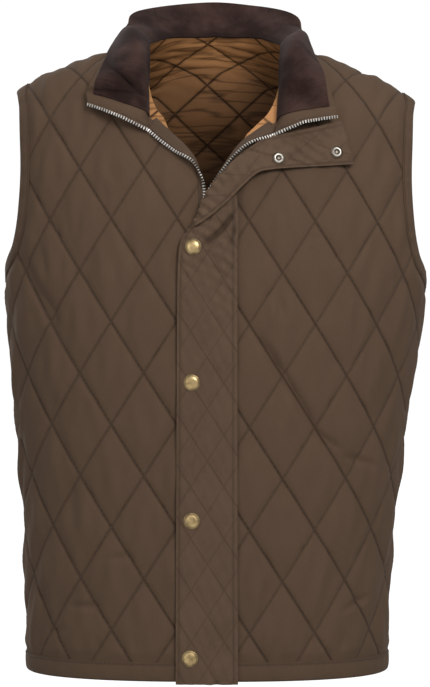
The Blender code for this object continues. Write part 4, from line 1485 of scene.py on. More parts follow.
@dataclass(frozen=True)
class Ripple:
    """Uneven soft waves over a piece."""

    seed: int
    across: float
    up: float
    count: int = 7

    def at(self, spots: Array) -> Array:
        """Height of the waves, about -1 to 1.

        Args:
            spots: Pattern places.

        Returns:
            One height for each place.
        """
        rng = np.random.default_rng(self.seed)
        total = np.zeros(spots.shape[:-1])
        for _ in range(self.count):
            size = rng.uniform(0.7, 1.6, 2) * (self.across, self.up)
            turn = spots[..., 0] / size[0] + rng.choice((-1.0, 1.0)) * spots[..., 1] / size[1]
            total += np.sin(2.0 * math.pi * turn + rng.uniform(0.0, 2.0 * math.pi))
        return total / math.sqrt(self.count)


def crease_depth(places: Array, centre: Array, crease: Crease) -> Array:
    """Depth of one crease at flat places.

    Args:
        places: Flat places.
        centre: Flat place of the crease's middle.
        crease: Its size and lean.

    Returns:
        Depth at each place.
    """
    lean = math.radians(crease.lean)
    run = np.array((math.sin(lean), math.cos(lean)))
    gap = places - centre
    along, beside = gap @ run, gap @ np.array((run[1], -run[0]))
    window = np.clip(1.0 - (2.0 * along / crease.length) ** 2, 0.0, 1.0) ** 1.5
    return crease.depth * window * np.exp(-((beside / crease.width) ** 2))


FRONT_CREASES = {
    Side.RIGHT: rows_of(
        Crease,
        (-0.057, -0.131, 0.024, 4.0, 0.003, 0.0011), (-0.111, -0.136, 0.026, -3.0, 0.0034, 0.001),
        (-0.115, -0.16, 0.034, -4.0, 0.0036, 0.0012), (-0.142, -0.192, 0.046, 2.0, 0.0032, 0.0014),
        (-0.164, -0.196, 0.028, -6.0, 0.004, 0.0009), (-0.095, -0.198, 0.04, 6.0, 0.004, 0.0011),
        (-0.065, -0.195, 0.028, -2.0, 0.003, 0.0009), (-0.178, -0.232, 0.038, -4.0, 0.004, 0.0014),
        (-0.16, -0.236, 0.032, 3.0, 0.0036, 0.001), (-0.132, -0.243, 0.06, 10.0, 0.0056, 0.0014),
        (-0.118, -0.238, 0.04, 4.0, 0.004, -0.0008), (-0.079, -0.296, 0.048, -3.0, 0.0034, 0.0011),
        (-0.064, -0.288, 0.036, 5.0, 0.0038, 0.0009), (-0.1, -0.324, 0.03, -5.0, 0.0036, 0.0009),
        (-0.085, -0.323, 0.032, 4.0, 0.0036, 0.0008), (-0.182, -0.265, 0.12, -33.0, 0.007, 0.0026),
        (-0.14, -0.395, 0.05, 12.0, 0.006, 0.0012), (-0.072, -0.438, 0.042, -8.0, 0.005, 0.001),
        (-0.15, -0.485, 0.06, 9.0, 0.0064, 0.0013), (-0.098, -0.538, 0.038, 82.0, 0.0042, 0.0011),
        (-0.135, -0.59, 0.036, 86.0, 0.0034, 0.0018), (-0.085, -0.628, 0.03, 4.0, 0.003, 0.0009),
        (-0.122, -0.63, 0.026, -6.0, 0.003, 0.001), (-0.165, -0.618, 0.034, 70.0, 0.004, 0.0012),
    ),
    Side.LEFT: rows_of(
        Crease,
        (0.063, -0.188, 0.044, 1.0, 0.0034, -0.0014), (0.072, -0.192, 0.04, -3.0, 0.0036, 0.0012),
        (0.044, -0.228, 0.034, -2.0, 0.0034, 0.0012), (0.055, -0.222, 0.028, 6.0, 0.0036, 0.0009),
        (0.058, -0.288, 0.042, 4.0, 0.0032, -0.0013), (0.066, -0.276, 0.038, -14.0, 0.0034, 0.0014),
        (0.125, -0.224, 0.026, 12.0, 0.004, 0.0009), (0.104, -0.206, 0.03, 70.0, 0.004, 0.0008),
        (0.18, -0.25, 0.024, 4.0, 0.0034, 0.0009), (0.076, -0.362, 0.2, -30.0, 0.0058, 0.003),
        (0.064, -0.33, 0.09, -26.0, 0.0066, -0.0012), (0.115, -0.417, 0.048, -58.0, 0.0036, 0.0018),
        (0.148, -0.438, 0.056, -74.0, 0.0038, 0.002), (0.125, -0.33, 0.036, 8.0, 0.0044, 0.0009),
        (0.07, -0.47, 0.04, 10.0, 0.005, 0.001), (0.105, -0.505, 0.044, -6.0, 0.005, 0.001),
        (0.145, -0.588, 0.046, 68.0, 0.0034, 0.002), (0.052, -0.575, 0.036, 5.0, 0.004, 0.001),
        (0.096, -0.622, 0.03, -7.0, 0.0032, 0.001), (0.13, -0.628, 0.028, 5.0, 0.003, 0.0011),
        (0.06, -0.632, 0.026, 3.0, 0.0028, 0.0009),
    ),
}
BACK_CREASES = rows_of(
    Crease,
    (-0.12, -0.12, 0.05, 4.0, 0.004, 0.0012), (0.11, -0.135, 0.044, -5.0, 0.0038, 0.0011),
    (-0.06, -0.165, 0.036, -3.0, 0.0036, 0.001), (0.05, -0.19, 0.048, 6.0, 0.004, 0.0012),
    (-0.15, -0.215, 0.07, 28.0, 0.006, 0.002), (0.155, -0.23, 0.076, -30.0, 0.0062, 0.0022),
    (-0.02, -0.29, 0.04, 2.0, 0.0036, 0.001), (0.09, -0.32, 0.11, -32.0, 0.006, 0.002),
    (-0.1, -0.37, 0.09, 30.0, 0.0056, 0.0018), (0.03, -0.41, 0.044, -4.0, 0.0042, 0.001),
    (-0.055, -0.47, 0.06, 74.0, 0.0044, 0.0015), (0.12, -0.48, 0.058, -70.0, 0.0042, 0.0016),
    (-0.13, -0.56, 0.042, 6.0, 0.0044, 0.0011), (0.02, -0.585, 0.038, 84.0, 0.0038, 0.0013),
    (-0.07, -0.625, 0.03, -5.0, 0.003, 0.001), (0.085, -0.628, 0.028, 6.0, 0.003, 0.001),
)


@dataclass
class Panel:
    """Cut piece of quilted cloth laid on the body form."""

    name: str
    face: Face
    outline: Array
    quilt: Quilt
    creases: Sequence[Crease]
    form: BodyForm
    seam_fade: float = 0.012
    margin: float = 0.0024
    crease_gain: float = 1.5

    def __post_init__(self) -> None:
        """Cut the cloth into fine triangles along its quilting."""
        low, high = self.outline.min(axis=0), self.outline.max(axis=0)
        inner = self.quilt.lattice(low, high)
        inner = inner[is_inside(inner, self.outline)]
        self.edge = np.concatenate((self.outline, self.outline[:1]))
        inner = inner[line_gap(inner, self.edge) > self.margin]
        flat = np.concatenate((self.outline, inner))
        count = len(self.outline)
        ring = [(k, (k + 1) % count) for k in range(count)]
        spots, _, triangles, *_ = delaunay_2d_cdt([Vector(spot) for spot in flat], ring, [], 1, 1e-7)
        self.spots = np.array([tuple(spot) for spot in spots])
        self.triangles = np.array(triangles)
        if self.face is Face.BACK:
            self.triangles = self.triangles[:, ::-1]

    def fade(self, spots: Array) -> Array:
        """Fullness that dies away at the seams."""
        return ease(line_gap(spots, self.edge) / self.seam_fade)

    def creased(self, spots: Array) -> Array:
        """Depth of every listed crease.

        Args:
            spots: Pattern places.

        Returns:
            One depth for each place.
        """
        total = np.zeros(len(spots))
        for crease in self.creases:
            centre = self.form.flat(self.face, np.array(crease.across), np.array(crease.height))
            total += self.crease_gain * crease_depth(spots, centre, crease)
        return total

    def sheet(self, piece: Piece) -> None:
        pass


@dataclass
class ShellPanel(Panel):
    """Outer quilted panel with its sewing."""

    flat_line: Array | None = None
    flat_fade: float = 0.032
    loft: float = SHELL_LOFT
    ripple: float = 0.0011
    gathers: float = 0.00030
    seed: int = 3
    wave_across: float = 0.026
    wave_up: float = 0.085
    # Strength of the painted shade along the quilting lines.
    sewn_shade: float = 0.28
    stitch_margin: float = 0.004
    sewing: Sewing = Sewing(pitch=0.0042, length=0.0030, width=0.0005)

    def lift(self, spots: Array) -> Array:
        """Height of the outer face above the form.

        Args:
            spots: Pattern places.

        Returns:
            Height at each place.
        """
        fade = self.fade(spots)
        if self.flat_line is not None:
            fade = np.minimum(fade, ease(line_gap(spots, self.flat_line) / self.flat_fade))
        puff = self.quilt.puff(spots)
        waves = self.ripple * Ripple(self.seed, self.wave_across, self.wave_up).at(spots) * puff
        gathered = self.gathers * self.quilt.pucker(spots)
        return SHELL_WALL + fade * (self.loft * puff + waves + gathered - self.creased(spots))

    def build(self, finish: ClothFinish) -> None:
        """Make the panel and its quilting stitches.

        Args:
            finish: The cloth.
        """
        base = self.form.points(self.face, self.spots)
        over = self.form.lifted(self.face, self.spots, self.lift(self.spots))
        # Painted shade along the quilting lines.
        groove = self.sewn_shade * self.quilt.groove(self.spots)
        piece = cut_wall(self.name, over, base, self.triangles, finish.material(), self.spots, groove)
        self.sheet(place_piece(piece, "shell", self.name))
        rows = []
        for run in self.quilt.runs(self.outline, self.stitch_margin):
            line = self.form.lifted(self.face, run, self.lift(run))
            rows.append(self.sewing.along(line, self.form.normals(self.face, run)))
        place_piece(self.sewing.mesh(f"stitches_{self.name}", rows), "shell")


# Painted shade: share of the lining's colour that is lost at each height inside the garment, darker lower
# down.
LINING_PAINTED_SHADE = (
    (-0.42, 0.35), (-0.2, 0.93), (-0.135, 0.945), (-0.112, 0.86), (-0.085, 0.77), (-0.04, 0.69),
    (-0.009, 0.55), (0.013, 0.1), (0.03, 0.0),
)


@dataclass
class LiningPanel(Panel):
    """Quilted lining, its face turned to the wearer."""

    loft: float = LINING_LOFT
    ripple: float = 0.0015
    seed: int = 11
    # Height added before reading the painted shade table, so that this panel stays lighter.
    drop: float = 0.0
    wave_across: float = 0.150
    wave_up: float = 0.024
    wave_power: float = 0.8
    sewn_shade: float = 0.25

    def build(self, finish: ClothFinish) -> None:
        """Make the lining panel.

        Args:
            finish: The cloth.
        """
        normals = self.form.normals(self.face, self.spots)
        base = self.form.points(self.face, self.spots)
        puff = self.quilt.puff(self.spots)
        swing = np.abs(Ripple(self.seed, self.wave_across, self.wave_up).at(self.spots))
        full = self.fade(self.spots) * (self.loft * puff + self.ripple * swing**self.wave_power)
        over = base - LINING_DEPTH * normals
        under = base - (LINING_DEPTH + LINING_WALL + full)[:, None] * normals
        # Painted shade: the lining darkens lower down inside the garment, and more in its quilting lines.
        lit = 1.0 - np.interp(base[:, 2] + self.drop, *np.transpose(LINING_PAINTED_SHADE))
        groove = 1.0 - lit * (1.0 - self.sewn_shade * self.quilt.groove(self.spots))
        piece = cut_wall(self.name, over, under, self.triangles, finish.material(), self.spots, groove)
        self.sheet(place_piece(piece, "lining", self.name))


@dataclass
class EdgeBand:
    """Strip of cloth folded over an edge and sewn through."""

    name: str
    form: BodyForm
    width: float
    out: float = 0.0020
    inside: float = 0.0054
    wall: float = 0.0010
    swell: float = 0.0007
    turn_bulge: float = 0.0026
    lap: float = 0.0008
    face_steps: int = 9
    turn_steps: int = 7
    cloth_step: float = 0.002
    ripple: float = 0.00035
    wave_along: float = 0.017
    wave_across: float = 0.2
    end_fade: float = 0.02
    # Strength of the painted shade along the stitched column.
    sewn_shade: float = 0.55
    stitch_column: int = 1
    probe_column: int = 3

    def profile(self) -> tuple[Array, Array]:
        """Distance in from the edge, and lift, round the strip's folded section.

        Returns:
            Both, from the lap outside round the edge to the lap inside.
        """
        across = np.linspace(self.width + self.lap, self.turn_bulge, self.face_steps)
        turn = np.linspace(0.0, math.pi, self.turn_steps + 2)[1:-1]
        middle, half = 0.5 * (self.out - self.inside), 0.5 * (self.out + self.inside)
        full = self.swell * np.sin(math.pi * np.linspace(0.0, 1.0, self.face_steps)) ** 0.7
        inset = np.concatenate((across, self.turn_bulge * (1.0 - np.sin(turn)), across[::-1]))
        under = np.full(self.face_steps, -self.inside)
        lift = np.concatenate((self.out + full, middle + half * np.cos(turn), under))
        return inset, lift

    def dress(self, grid: Array, looped: bool) -> None:
        """Make the strip on its grid, with its row of stitches.

        Args:
            grid: Middle of the cloth, rows along the edge.
            looped: Whether it closes on itself.
        """
        rows, columns = grid.shape[:2]
        along = run_lengths(grid[:, 0])
        flat = np.stack(np.broadcast_arrays(along[:, None], np.arange(columns) * self.cloth_step), axis=-1)
        shown = np.zeros(columns)
        shown[1 : self.face_steps] = 1.0
        window = ease(np.minimum(along, along[-1] - along) / self.end_fade)[:, None]
        waves = Ripple(len(self.name), self.wave_along, self.wave_across).at(flat)
        relief = self.ripple * waves * shown * window
        # Painted shade along the row of stitches.
        groove = np.zeros((rows, columns))
        groove[:, self.stitch_column] = self.sewn_shade
        out = grid_normals(grid, looped)
        probe = np.einsum("ij,ij->i", out[:, self.probe_column], self.form_out(grid[:, self.probe_column]))
        turned = bool(probe.mean() < 0.0)
        piece = grid_wall(self.name, grid, self.wall, BAND.material(), relief, groove, looped, turned)
        place_strip(piece, "band", self.name, np.concatenate((grid, grid[:1])) if looped else grid)
        way = out[:, self.stitch_column] * (-1.0 if turned else 1.0)
        line = grid[:, self.stitch_column] + (0.5 * self.wall + relief[:, self.stitch_column, None]) * way
        sewing = Sewing()
        place_piece(sewing.mesh(f"stitches_{self.name}", [sewing.along(line, way)]), "band")

    def form_out(self, points: Array) -> Array:
        """Directions away from the garment's upright middle line."""
        return unit(points * np.array((1.0, 1.0, 0.0)))


@dataclass
class ArmholeBand(EdgeBand):
    """Band round one armhole."""

    side: Side = Side.RIGHT

    def build(self, cut: Cut) -> None:
        """Make the band.

        Args:
            cut: Pattern lines.
        """
        columns = []
        for inset, lift in zip(*self.profile()):
            flat = [cut.armhole(face, self.side, inset) for face in Face]
            front, back = (self.form.lifted(*line, np.full(len(line[1]), lift)) for line in zip(Face, flat))
            columns.append(np.concatenate((front, back[::-1][1:-1])))
        self.dress(np.stack(columns, axis=1), True)

    def form_out(self, points: Array) -> Array:
        """Directions out of the cloth's face round the armhole."""
        return np.stack((np.zeros(len(points)), np.sign(points[:, 1]), np.zeros(len(points))), axis=-1)


@dataclass
class HemBand(EdgeBand):
    """Turned hem of one panel."""

    face: Face = Face.BACK
    start: float = 0.0
    end: float = 0.0
    row_step: float = 0.004

    def build(self) -> None:
        """Make the hem."""
        along = np.linspace(self.start, self.end, int((self.end - self.start) / self.row_step))
        columns = []
        for inset, lift in zip(*self.profile()):
            spots = np.stack((along, np.full(len(along), HEM_HEIGHT + inset)), axis=-1)
            columns.append(self.form.lifted(self.face, spots, np.full(len(along), lift)))
        self.dress(np.stack(columns, axis=1), False)


COLLAR_CREASES = rows_of(
    Crease,
    (-0.0926, -0.0427, 0.072, -48.0, 0.0026, 0.003), (-0.101, -0.06, 0.03, -62.0, 0.0036, 0.0016),
    (-0.112, -0.02, 0.04, -20.0, 0.005, 0.0012), (0.086, -0.04, 0.05, 14.0, 0.005, 0.0016),
    (0.101, -0.066, 0.03, 40.0, 0.004, 0.0012), (0.066, 0.022, 0.026, 4.0, 0.0026, 0.001),
    (-0.03, 0.05, 0.03, 60.0, 0.005, 0.0008), (0.02, 0.052, 0.034, -66.0, 0.005, 0.0008),
)
FLAP_CREASES = rows_of(
    Crease,
    (0.012, -0.19, 0.04, 34.0, 0.003, 0.002), (0.004, -0.2, 0.05, 42.0, 0.0032, 0.0022),
    (-0.006, -0.208, 0.04, 52.0, 0.003, 0.0016), (0.017, -0.205, 0.036, 18.0, 0.0026, 0.0014),
    (-0.02, -0.3, 0.024, 60.0, 0.0026, 0.0007), (0.004, -0.33, 0.026, -50.0, 0.0026, 0.0007),
    (-0.012, -0.41, 0.022, 48.0, 0.0024, 0.0006), (-0.026, -0.445, 0.02, -42.0, 0.0024, 0.0006),
    (0.006, -0.52, 0.026, 54.0, 0.0026, 0.0007), (-0.018, -0.58, 0.022, -50.0, 0.0024, 0.0006),
    (-0.008, -0.62, 0.024, 44.0, 0.0026, 0.0007), (0.07, -0.118, 0.03, 78.0, 0.003, 0.0009),
    (0.098, -0.108, 0.034, 70.0, 0.003, 0.0009), (0.046, -0.122, 0.03, 50.0, 0.0032, 0.001),
    (0.118, -0.122, 0.024, 10.0, 0.0028, 0.0008),
)

# How far the shell cloth shows past the corduroy, at shares of the way round the neck.
COLLAR_RIM = (
    (0.0, 0.008), (0.08, 0.0052), (0.2, 0.0016), (0.4, 0.001), (0.6, 0.001), (0.82, 0.0016),
    (0.92, 0.0036), (1.0, 0.005),
)


def view_creases(grid: Array, creases: Sequence[Crease]) -> Array:
    """Depth at each point of a grid of creases that are placed by their front view."""
    places = grid[..., (0, 2)]
    return sum(crease_depth(places, np.array((c.across, c.height)), c) for c in creases)


@dataclass
class Collar:
    """Fallen collar: plain outside, corduroy inside, with the facing beside the zip."""

    form: BodyForm
    cut: Cut
    stations: int = 260
    steps: int = 44
    stand: float = 0.027
    seam_lift: float = 0.0012
    wall: float = 0.0016
    pile: float = 0.0012
    strip_rows: int = 9
    strip_bow: float = 0.0014
    join_share: float = 0.6
    join_bow: float = 0.0020
    tuck: float = 0.0042
    facing_share: float = 0.6
    rim_steps: int = 4
    rim_back: int = 4
    ripple: float = 0.0009
    flat_size: tuple[float, float] = (0.54, 0.09)
    free_share: float = 0.3
    # Painted shade on the corduroy: its strength at the seam, how fast it fades, and the crease depth and
    # count that get it.
    seam_shade: float = 0.7
    seam_fade: float = 25.0
    crease_full: float = 0.0030
    deep_creases: int = 2
    air: float = 0.0002
    thread_lift: float = 0.0003
    stitch_row: int = -3
    seam_shift: dict[Side, tuple[float, float, float]] = field(
        default_factory=lambda: {
            Side.RIGHT: (-0.0040, -0.009, -0.0185),
            Side.LEFT: (0.0045, -0.008, -0.0130),
        }
    )
    edge_shift: dict[Side, tuple[float, float, float]] = field(
        default_factory=lambda: {
            Side.RIGHT: (-0.0047, -0.002, -0.0110),
            Side.LEFT: (0.0070, -0.002, -0.0105),
        }
    )

    def seam(self) -> tuple[Array, Array]:
        """Points of the neck seam and the form's outward direction at each.

        Returns:
            Both, from the right front's edge round the back to the left front's.
        """
        parts = [
            (Face.FRONT, self.cut.front_neck(Side.RIGHT, 0.0)[::-1]),
            (Face.BACK, self.cut.back_neck(0.0)[::-1][1:-1]),
            (Face.FRONT, self.cut.front_neck(Side.LEFT, 0.0)),
        ]
        points = np.concatenate([self.form.points(face, spots) for face, spots in parts])
        ways = np.concatenate([self.form.normals(face, spots) for face, spots in parts])
        both = even_line(np.concatenate((points, ways), axis=1), self.stations + 1)
        return both[:, :3], unit(both[:, 3:])

    def grid(self) -> Array:
        """Middle of the collar: a row for each station, from seam to free edge.

        Returns:
            Points by station and step.
        """
        seam, way = self.seam()
        stations = np.linspace(0.0, 1.0, self.stations + 1)
        names = ("across", "depth", "height")
        end = np.stack([Curve.column(COLLAR_EDGE, "station", name).at(stations) for name in names], axis=-1)
        start = seam + self.seam_lift * way
        stand = seam + self.stand * way
        part = np.linspace(0.0, 1.0, self.steps + 1)[None, :, None]
        rest = 1.0 - part
        return rest**2 * start[:, None] + 2.0 * part * rest * stand[:, None] + part**2 * end[:, None]

    def facing(self, grid: Array) -> Array:
        """Middle of the corduroy: just short of the free edge, tucked in at the seam.

        Args:
            grid: The collar's middle.

        Returns:
            Rows like the collar's, with a column more.
        """
        seam, way = self.seam()
        trimmed = grid.copy()
        trimmed[:, -1] = grid[:, -2] + self.facing_share * (grid[:, -1] - grid[:, -2])
        return np.concatenate(((seam - self.tuck * way)[:, None], trimmed), axis=1)

    def rimmed(self, shell: Array) -> Array:
        """Carry the shell cloth past the corduroy's edge.

        Args:
            shell: Middle of the shell cloth, with the facings beside the zip.

        Returns:
            The same rows with the rim's columns added.
        """
        row = np.arange(len(shell))
        reach = np.interp((row - self.strip_rows) / self.stations, *np.transpose(COLLAR_RIM))
        reach = reach * np.clip(np.minimum(row, row[::-1]) / self.strip_rows, 0.1, 1.0)
        way = unit(shell[:, -1] - shell[:, -self.rim_back])
        steps = np.linspace(0.0, 1.0, self.rim_steps + 1)[1:]
        rim = shell[:, -1:] + reach[:, None, None] * steps[None, :, None] * way[:, None]
        return np.concatenate((shell, rim), axis=1)

    def strip(self, row: Array, side: Side, corner: Array) -> Array:
        """Facing carried from the collar's front end to the zip.

        Args:
            row: The collar's first or last row.
            side: Wearer's side.
            corner: Upper end of the tape's zip edge, where the strip takes over.

        Returns:
            Rows from the collar to the zip.
        """
        shares = np.linspace(0.0, 1.0, len(row))[:, None]
        shift = np.array(self.seam_shift[side]) * (1.0 - shares) + np.array(self.edge_shift[side]) * shares
        edge = row + shift
        part = np.clip(shares / self.join_share, 0.0, 1.0)
        meet = edge[int(round(self.join_share * self.steps))]
        bowed = np.array((0.0, -self.join_bow, 0.0)) * 4.0 * part * (1.0 - part)
        joined = corner * (1.0 - part) + meet * part + bowed
        edge = np.where(shares < self.join_share, joined, edge)
        out = np.linspace(0.0, 1.0, self.strip_rows + 1)[1:, None, None]
        bow = self.strip_bow * np.sin(math.pi * out) * np.array((0.0, -1.0, 0.4))
        return row[None] + out * (edge - row)[None] + bow

    def soft_grid(self) -> Array:
        """Middle of the collar with its waves and creases.

        Returns:
            Points by station and step.
        """
        grid = self.grid()
        places = [np.linspace(0.0, size, count) for size, count in zip(self.flat_size, grid.shape)]
        flat = np.stack(np.meshgrid(*places, indexing="ij"), axis=-1)
        free = ease(np.linspace(0.0, 1.0, grid.shape[1]) / self.free_share)
        waves = self.ripple * Ripple(21, 0.070, 0.110).at(flat)
        soft = waves * free - view_creases(grid, COLLAR_CREASES) * free
        return grid + soft[..., None] * grid_normals(grid)

    def build(self, corners: dict[Side, Array]) -> dict[Side, Array]:
        """Make both sides of the collar.

        Args:
            corners: Upper end of each tape's zip edge.

        Returns:
            The facing's zip edge on each side, with the row before it.
        """
        grid = self.soft_grid()
        ends = {Side.RIGHT: grid[0], Side.LEFT: grid[-1]}
        strips = {side: self.strip(row, side, corners[side]) for side, row in ends.items()}
        shell = np.concatenate((strips[Side.RIGHT][::-1], grid, strips[Side.LEFT]))
        rimmed = self.rimmed(shell)
        middle = rimmed - 0.5 * self.wall * grid_normals(rimmed)
        piece = grid_wall("collar_shell", middle, self.wall, BAND.material())
        place_strip(piece, "band", "collar_shell", rimmed)
        ways = grid_normals(shell)[self.strip_rows : -self.strip_rows]
        ways = np.concatenate((ways[:, :1], ways), axis=1)
        pile = self.facing(grid) + (0.5 * self.pile + self.air) * ways
        # Painted shade on the corduroy: dark where it tucks into the seam, fading out, and along its two
        # deepest creases.
        shade = self.seam_shade * np.exp(-np.linspace(0.0, self.seam_fade, pile.shape[1]))
        creased = view_creases(pile, COLLAR_CREASES[: self.deep_creases]) / self.crease_full
        shade = np.maximum(shade, np.clip(creased, 0.0, 1.0) ** 2)
        piece = grid_wall("collar_facing", pile, self.pile, CORDUROY.material(), 0.0, shade)
        place_strip(piece, "corduroy", "collar_facing", pile)
        sewing, rows = Sewing(), []
        for strip in strips.values():
            face = grid_normals(strip)
            face = (face * np.sign(-face[..., 1].mean()))[self.stitch_row, 1:-1]
            rows.append(sewing.along(strip[self.stitch_row, 1:-1] + self.thread_lift * face, face))
        place_piece(sewing.mesh("stitches_collar", rows), "band")
        return {side: strip[-2:] for side, strip in strips.items()}


@dataclass
class StormFlap:
    """Strip over the zip, snapped down below and turned back on the left front above."""

    form: BodyForm
    snaps: Sequence[Spot]
    cloth: ClothFinish
    rows: int = 260
    columns: int = 45
    wall: float = 0.0018
    fold: float = 0.0026
    fold_reach: float = 0.006
    turn_reach: float = 0.008
    quilt: Quilt = Quilt(-0.009, -0.330, 0.0343, 0.0534, 6, 0.75, 0.55, 0.0010)
    quilt_top: float = -0.20
    quilt_fade: float = 0.03
    puff: float = 0.0011
    ripple: float = 0.00095
    edge_fade: float = 0.006
    snap_fade: float = 0.016
    free_stitch: float = 0.0032
    seam_stitch: float = 0.0045
    stitch_depth: float = 0.00035
    # Crease depth that gets full painted shade, and how many of the first creases get it.
    crease_full: float = 0.0022
    deep_creases: int = 4
    seam_share: float = 0.45

    def grid(self) -> Array:
        """Middle of the cloth: under its fold, round it, and back on top.

        Returns:
            Points by row and column.
        """
        table = row_curve(FLAP, np.linspace(0.0, len(FLAP) - 1.0, self.rows))
        seam, fold, free, lift = table[:, 0:2], table[:, 2:4], table[:, 4:6], table[:, 6:7]
        under = np.linalg.norm(fold - seam, axis=1)[:, None]
        top = np.linalg.norm(free - fold, axis=1)[:, None]
        folded = ease(np.minimum(under, top) / self.fold_reach)
        radius = self.fold * ease(top / self.fold_reach)
        place = np.linspace(0.0, 1.0, self.columns)[None] * (under + top)
        below = place < under
        low = seam[:, None] + (fold - seam)[:, None] * (place / np.maximum(under, 1e-6))[..., None]
        high = fold[:, None] + (free - fold)[:, None] * ((place - under) / np.maximum(top, 1e-6))[..., None]
        spot = np.where(below[..., None], low, high)
        rise_low = radius * ease(1.0 - (under - place) / self.turn_reach) * folded
        rise_high = radius * (1.0 + ease((place - under) / self.turn_reach)) * folded
        rise = np.where(below, rise_low, rise_high)
        flat = self.form.flat(Face.FRONT, spot[..., 0], spot[..., 1])
        return self.form.lifted(Face.FRONT, flat, lift + rise)

    def build(self) -> None:
        """Make the flap and its edge stitching."""
        grid = self.grid()
        out = grid_normals(grid)
        facing = -np.sign(np.median(out[: self.rows // 3, :, 1]))
        out = out * facing
        across = run_lengths(grid, 1)
        from_free = across[:, -1:] - across
        places = grid[..., (0, 2)]
        calm = ease(np.minimum(from_free, across) / self.edge_fade)
        for snap in self.snaps:
            calm = calm * ease(np.linalg.norm(places - np.array(snap), axis=2) / self.snap_fade)
        puff = self.quilt.puff(places) * ease((self.quilt_top - places[..., 1]) / self.quilt_fade)
        waves = self.ripple * Ripple(31, 0.014, 0.017).at(places) + self.puff * puff
        sewn = np.exp(-(((from_free - self.free_stitch) / 0.0011) ** 2))
        sewn = sewn + 0.8 * np.exp(-(((across - self.seam_stitch) / 0.0012) ** 2))
        relief = calm * (waves - view_creases(grid, FLAP_CREASES)) - self.stitch_depth * sewn
        # Painted shade along the stitch rows and in the deepest creases near the fold.
        deep = view_creases(grid, FLAP_CREASES[: self.deep_creases]) / self.crease_full
        groove = np.clip(0.5 * sewn + 0.8 * np.clip(deep, 0.0, 1.0), 0.0, 1.0)
        cloth = self.cloth.material()
        piece = grid_wall("storm_flap", grid, self.wall, cloth, relief, groove, turned=facing < 0.0)
        place_strip(piece, "flap", "storm_flap", grid)
        surface = grid + (relief + 0.5 * self.wall)[..., None] * out
        seam_end = int(self.seam_share * self.rows)
        edges = ((self.free_stitch, from_free, self.rows - 2), (self.seam_stitch, across, seam_end))
        sewing, rows = Sewing(), []
        for inset, source, last in edges:
            pick = np.arange(self.rows), np.abs(source - inset).argmin(axis=1)
            rows.append(sewing.along(surface[pick][2:last], out[pick][2:last]))
        end = slice(3, self.columns - 2)
        rows.append(sewing.along(surface[-6, end], out[-6, end]))
        place_piece(sewing.mesh("stitches_storm_flap", rows), "flap")


@dataclass
class ZipTape:
    """Zip tape of one front, turned out with the open neck, and its teeth."""

    side: Side
    form: BodyForm
    roll: float = 0.0034
    wall: float = 0.0010
    steps: int = 13
    top_slant: float = 0.007
    row_step: float = 0.004
    run_reach: float = 0.004
    fine_rows: int = 44
    # Strength of the painted shade on the tape where the teeth sit.
    sewn_shade: float = 0.7

    def grid(self) -> Array:
        """Middle of the tape, from the front's edge to the teeth, rows upwards.

        Returns:
            Points by row and column.
        """
        rows, edges = TAPES[self.side], NECK_EDGES[self.side]
        fine = np.linspace(rows[0].height, rows[-1].height, self.fine_rows)
        closed = np.arange(HEM_HEIGHT, rows[0].height - self.row_step, self.row_step)
        heights = np.concatenate((closed, fine))
        across = Curve.column(edges, "height", "across")
        turn = np.radians(Curve.column(rows, "height", "turn").at(heights))[:, None]
        width = Curve.column(rows, "height", "width").at(heights)[:, None]
        sideways = across.at(heights + self.run_reach) - across.at(heights - self.run_reach)
        run = unit(np.stack((sideways, np.full(len(heights), 2.0 * self.run_reach)), axis=-1))
        slant = self.top_slant * ease((heights - rows[-3].height) / (rows[-1].height - rows[-3].height))
        place = width * np.linspace(0.0, 1.0, self.steps)[None]
        bent = np.minimum(place / self.roll, turn)
        straight = place - bent * self.roll
        out = self.roll * np.sin(bent) + straight * np.cos(bent)
        lift = 0.5 * self.wall + self.roll * (1.0 - np.cos(bent)) + straight * np.sin(bent)
        edge = np.stack((self.form.arc_at(Face.FRONT, across.at(heights), heights), heights), axis=-1)
        towards = np.stack((run[:, 1], -run[:, 0]), axis=-1) * -self.side.value
        drop = run[:, None] * (slant[:, None] * place / width)[..., None]
        spots = edge[:, None] + towards[:, None] * out[..., None] - drop
        return self.form.lifted(Face.FRONT, spots, lift)

    def build(self) -> Array:
        """Make the tape.

        Returns:
            The tape's last two columns, the zip edge last.
        """
        grid = self.grid()
        name = f"zip_tape_{self.side.name.lower()}"
        # Painted shade on the tape's last two columns, where the teeth sit.
        groove = np.zeros(grid.shape[:2])
        groove[:, -2:] = self.sewn_shade
        piece = grid_wall(name, grid, self.wall, TAPE.material(), 0.0, groove)
        place_strip(piece, "zip_tape", name, grid)
        return np.stack((grid[:, -2], grid[:, -1]))


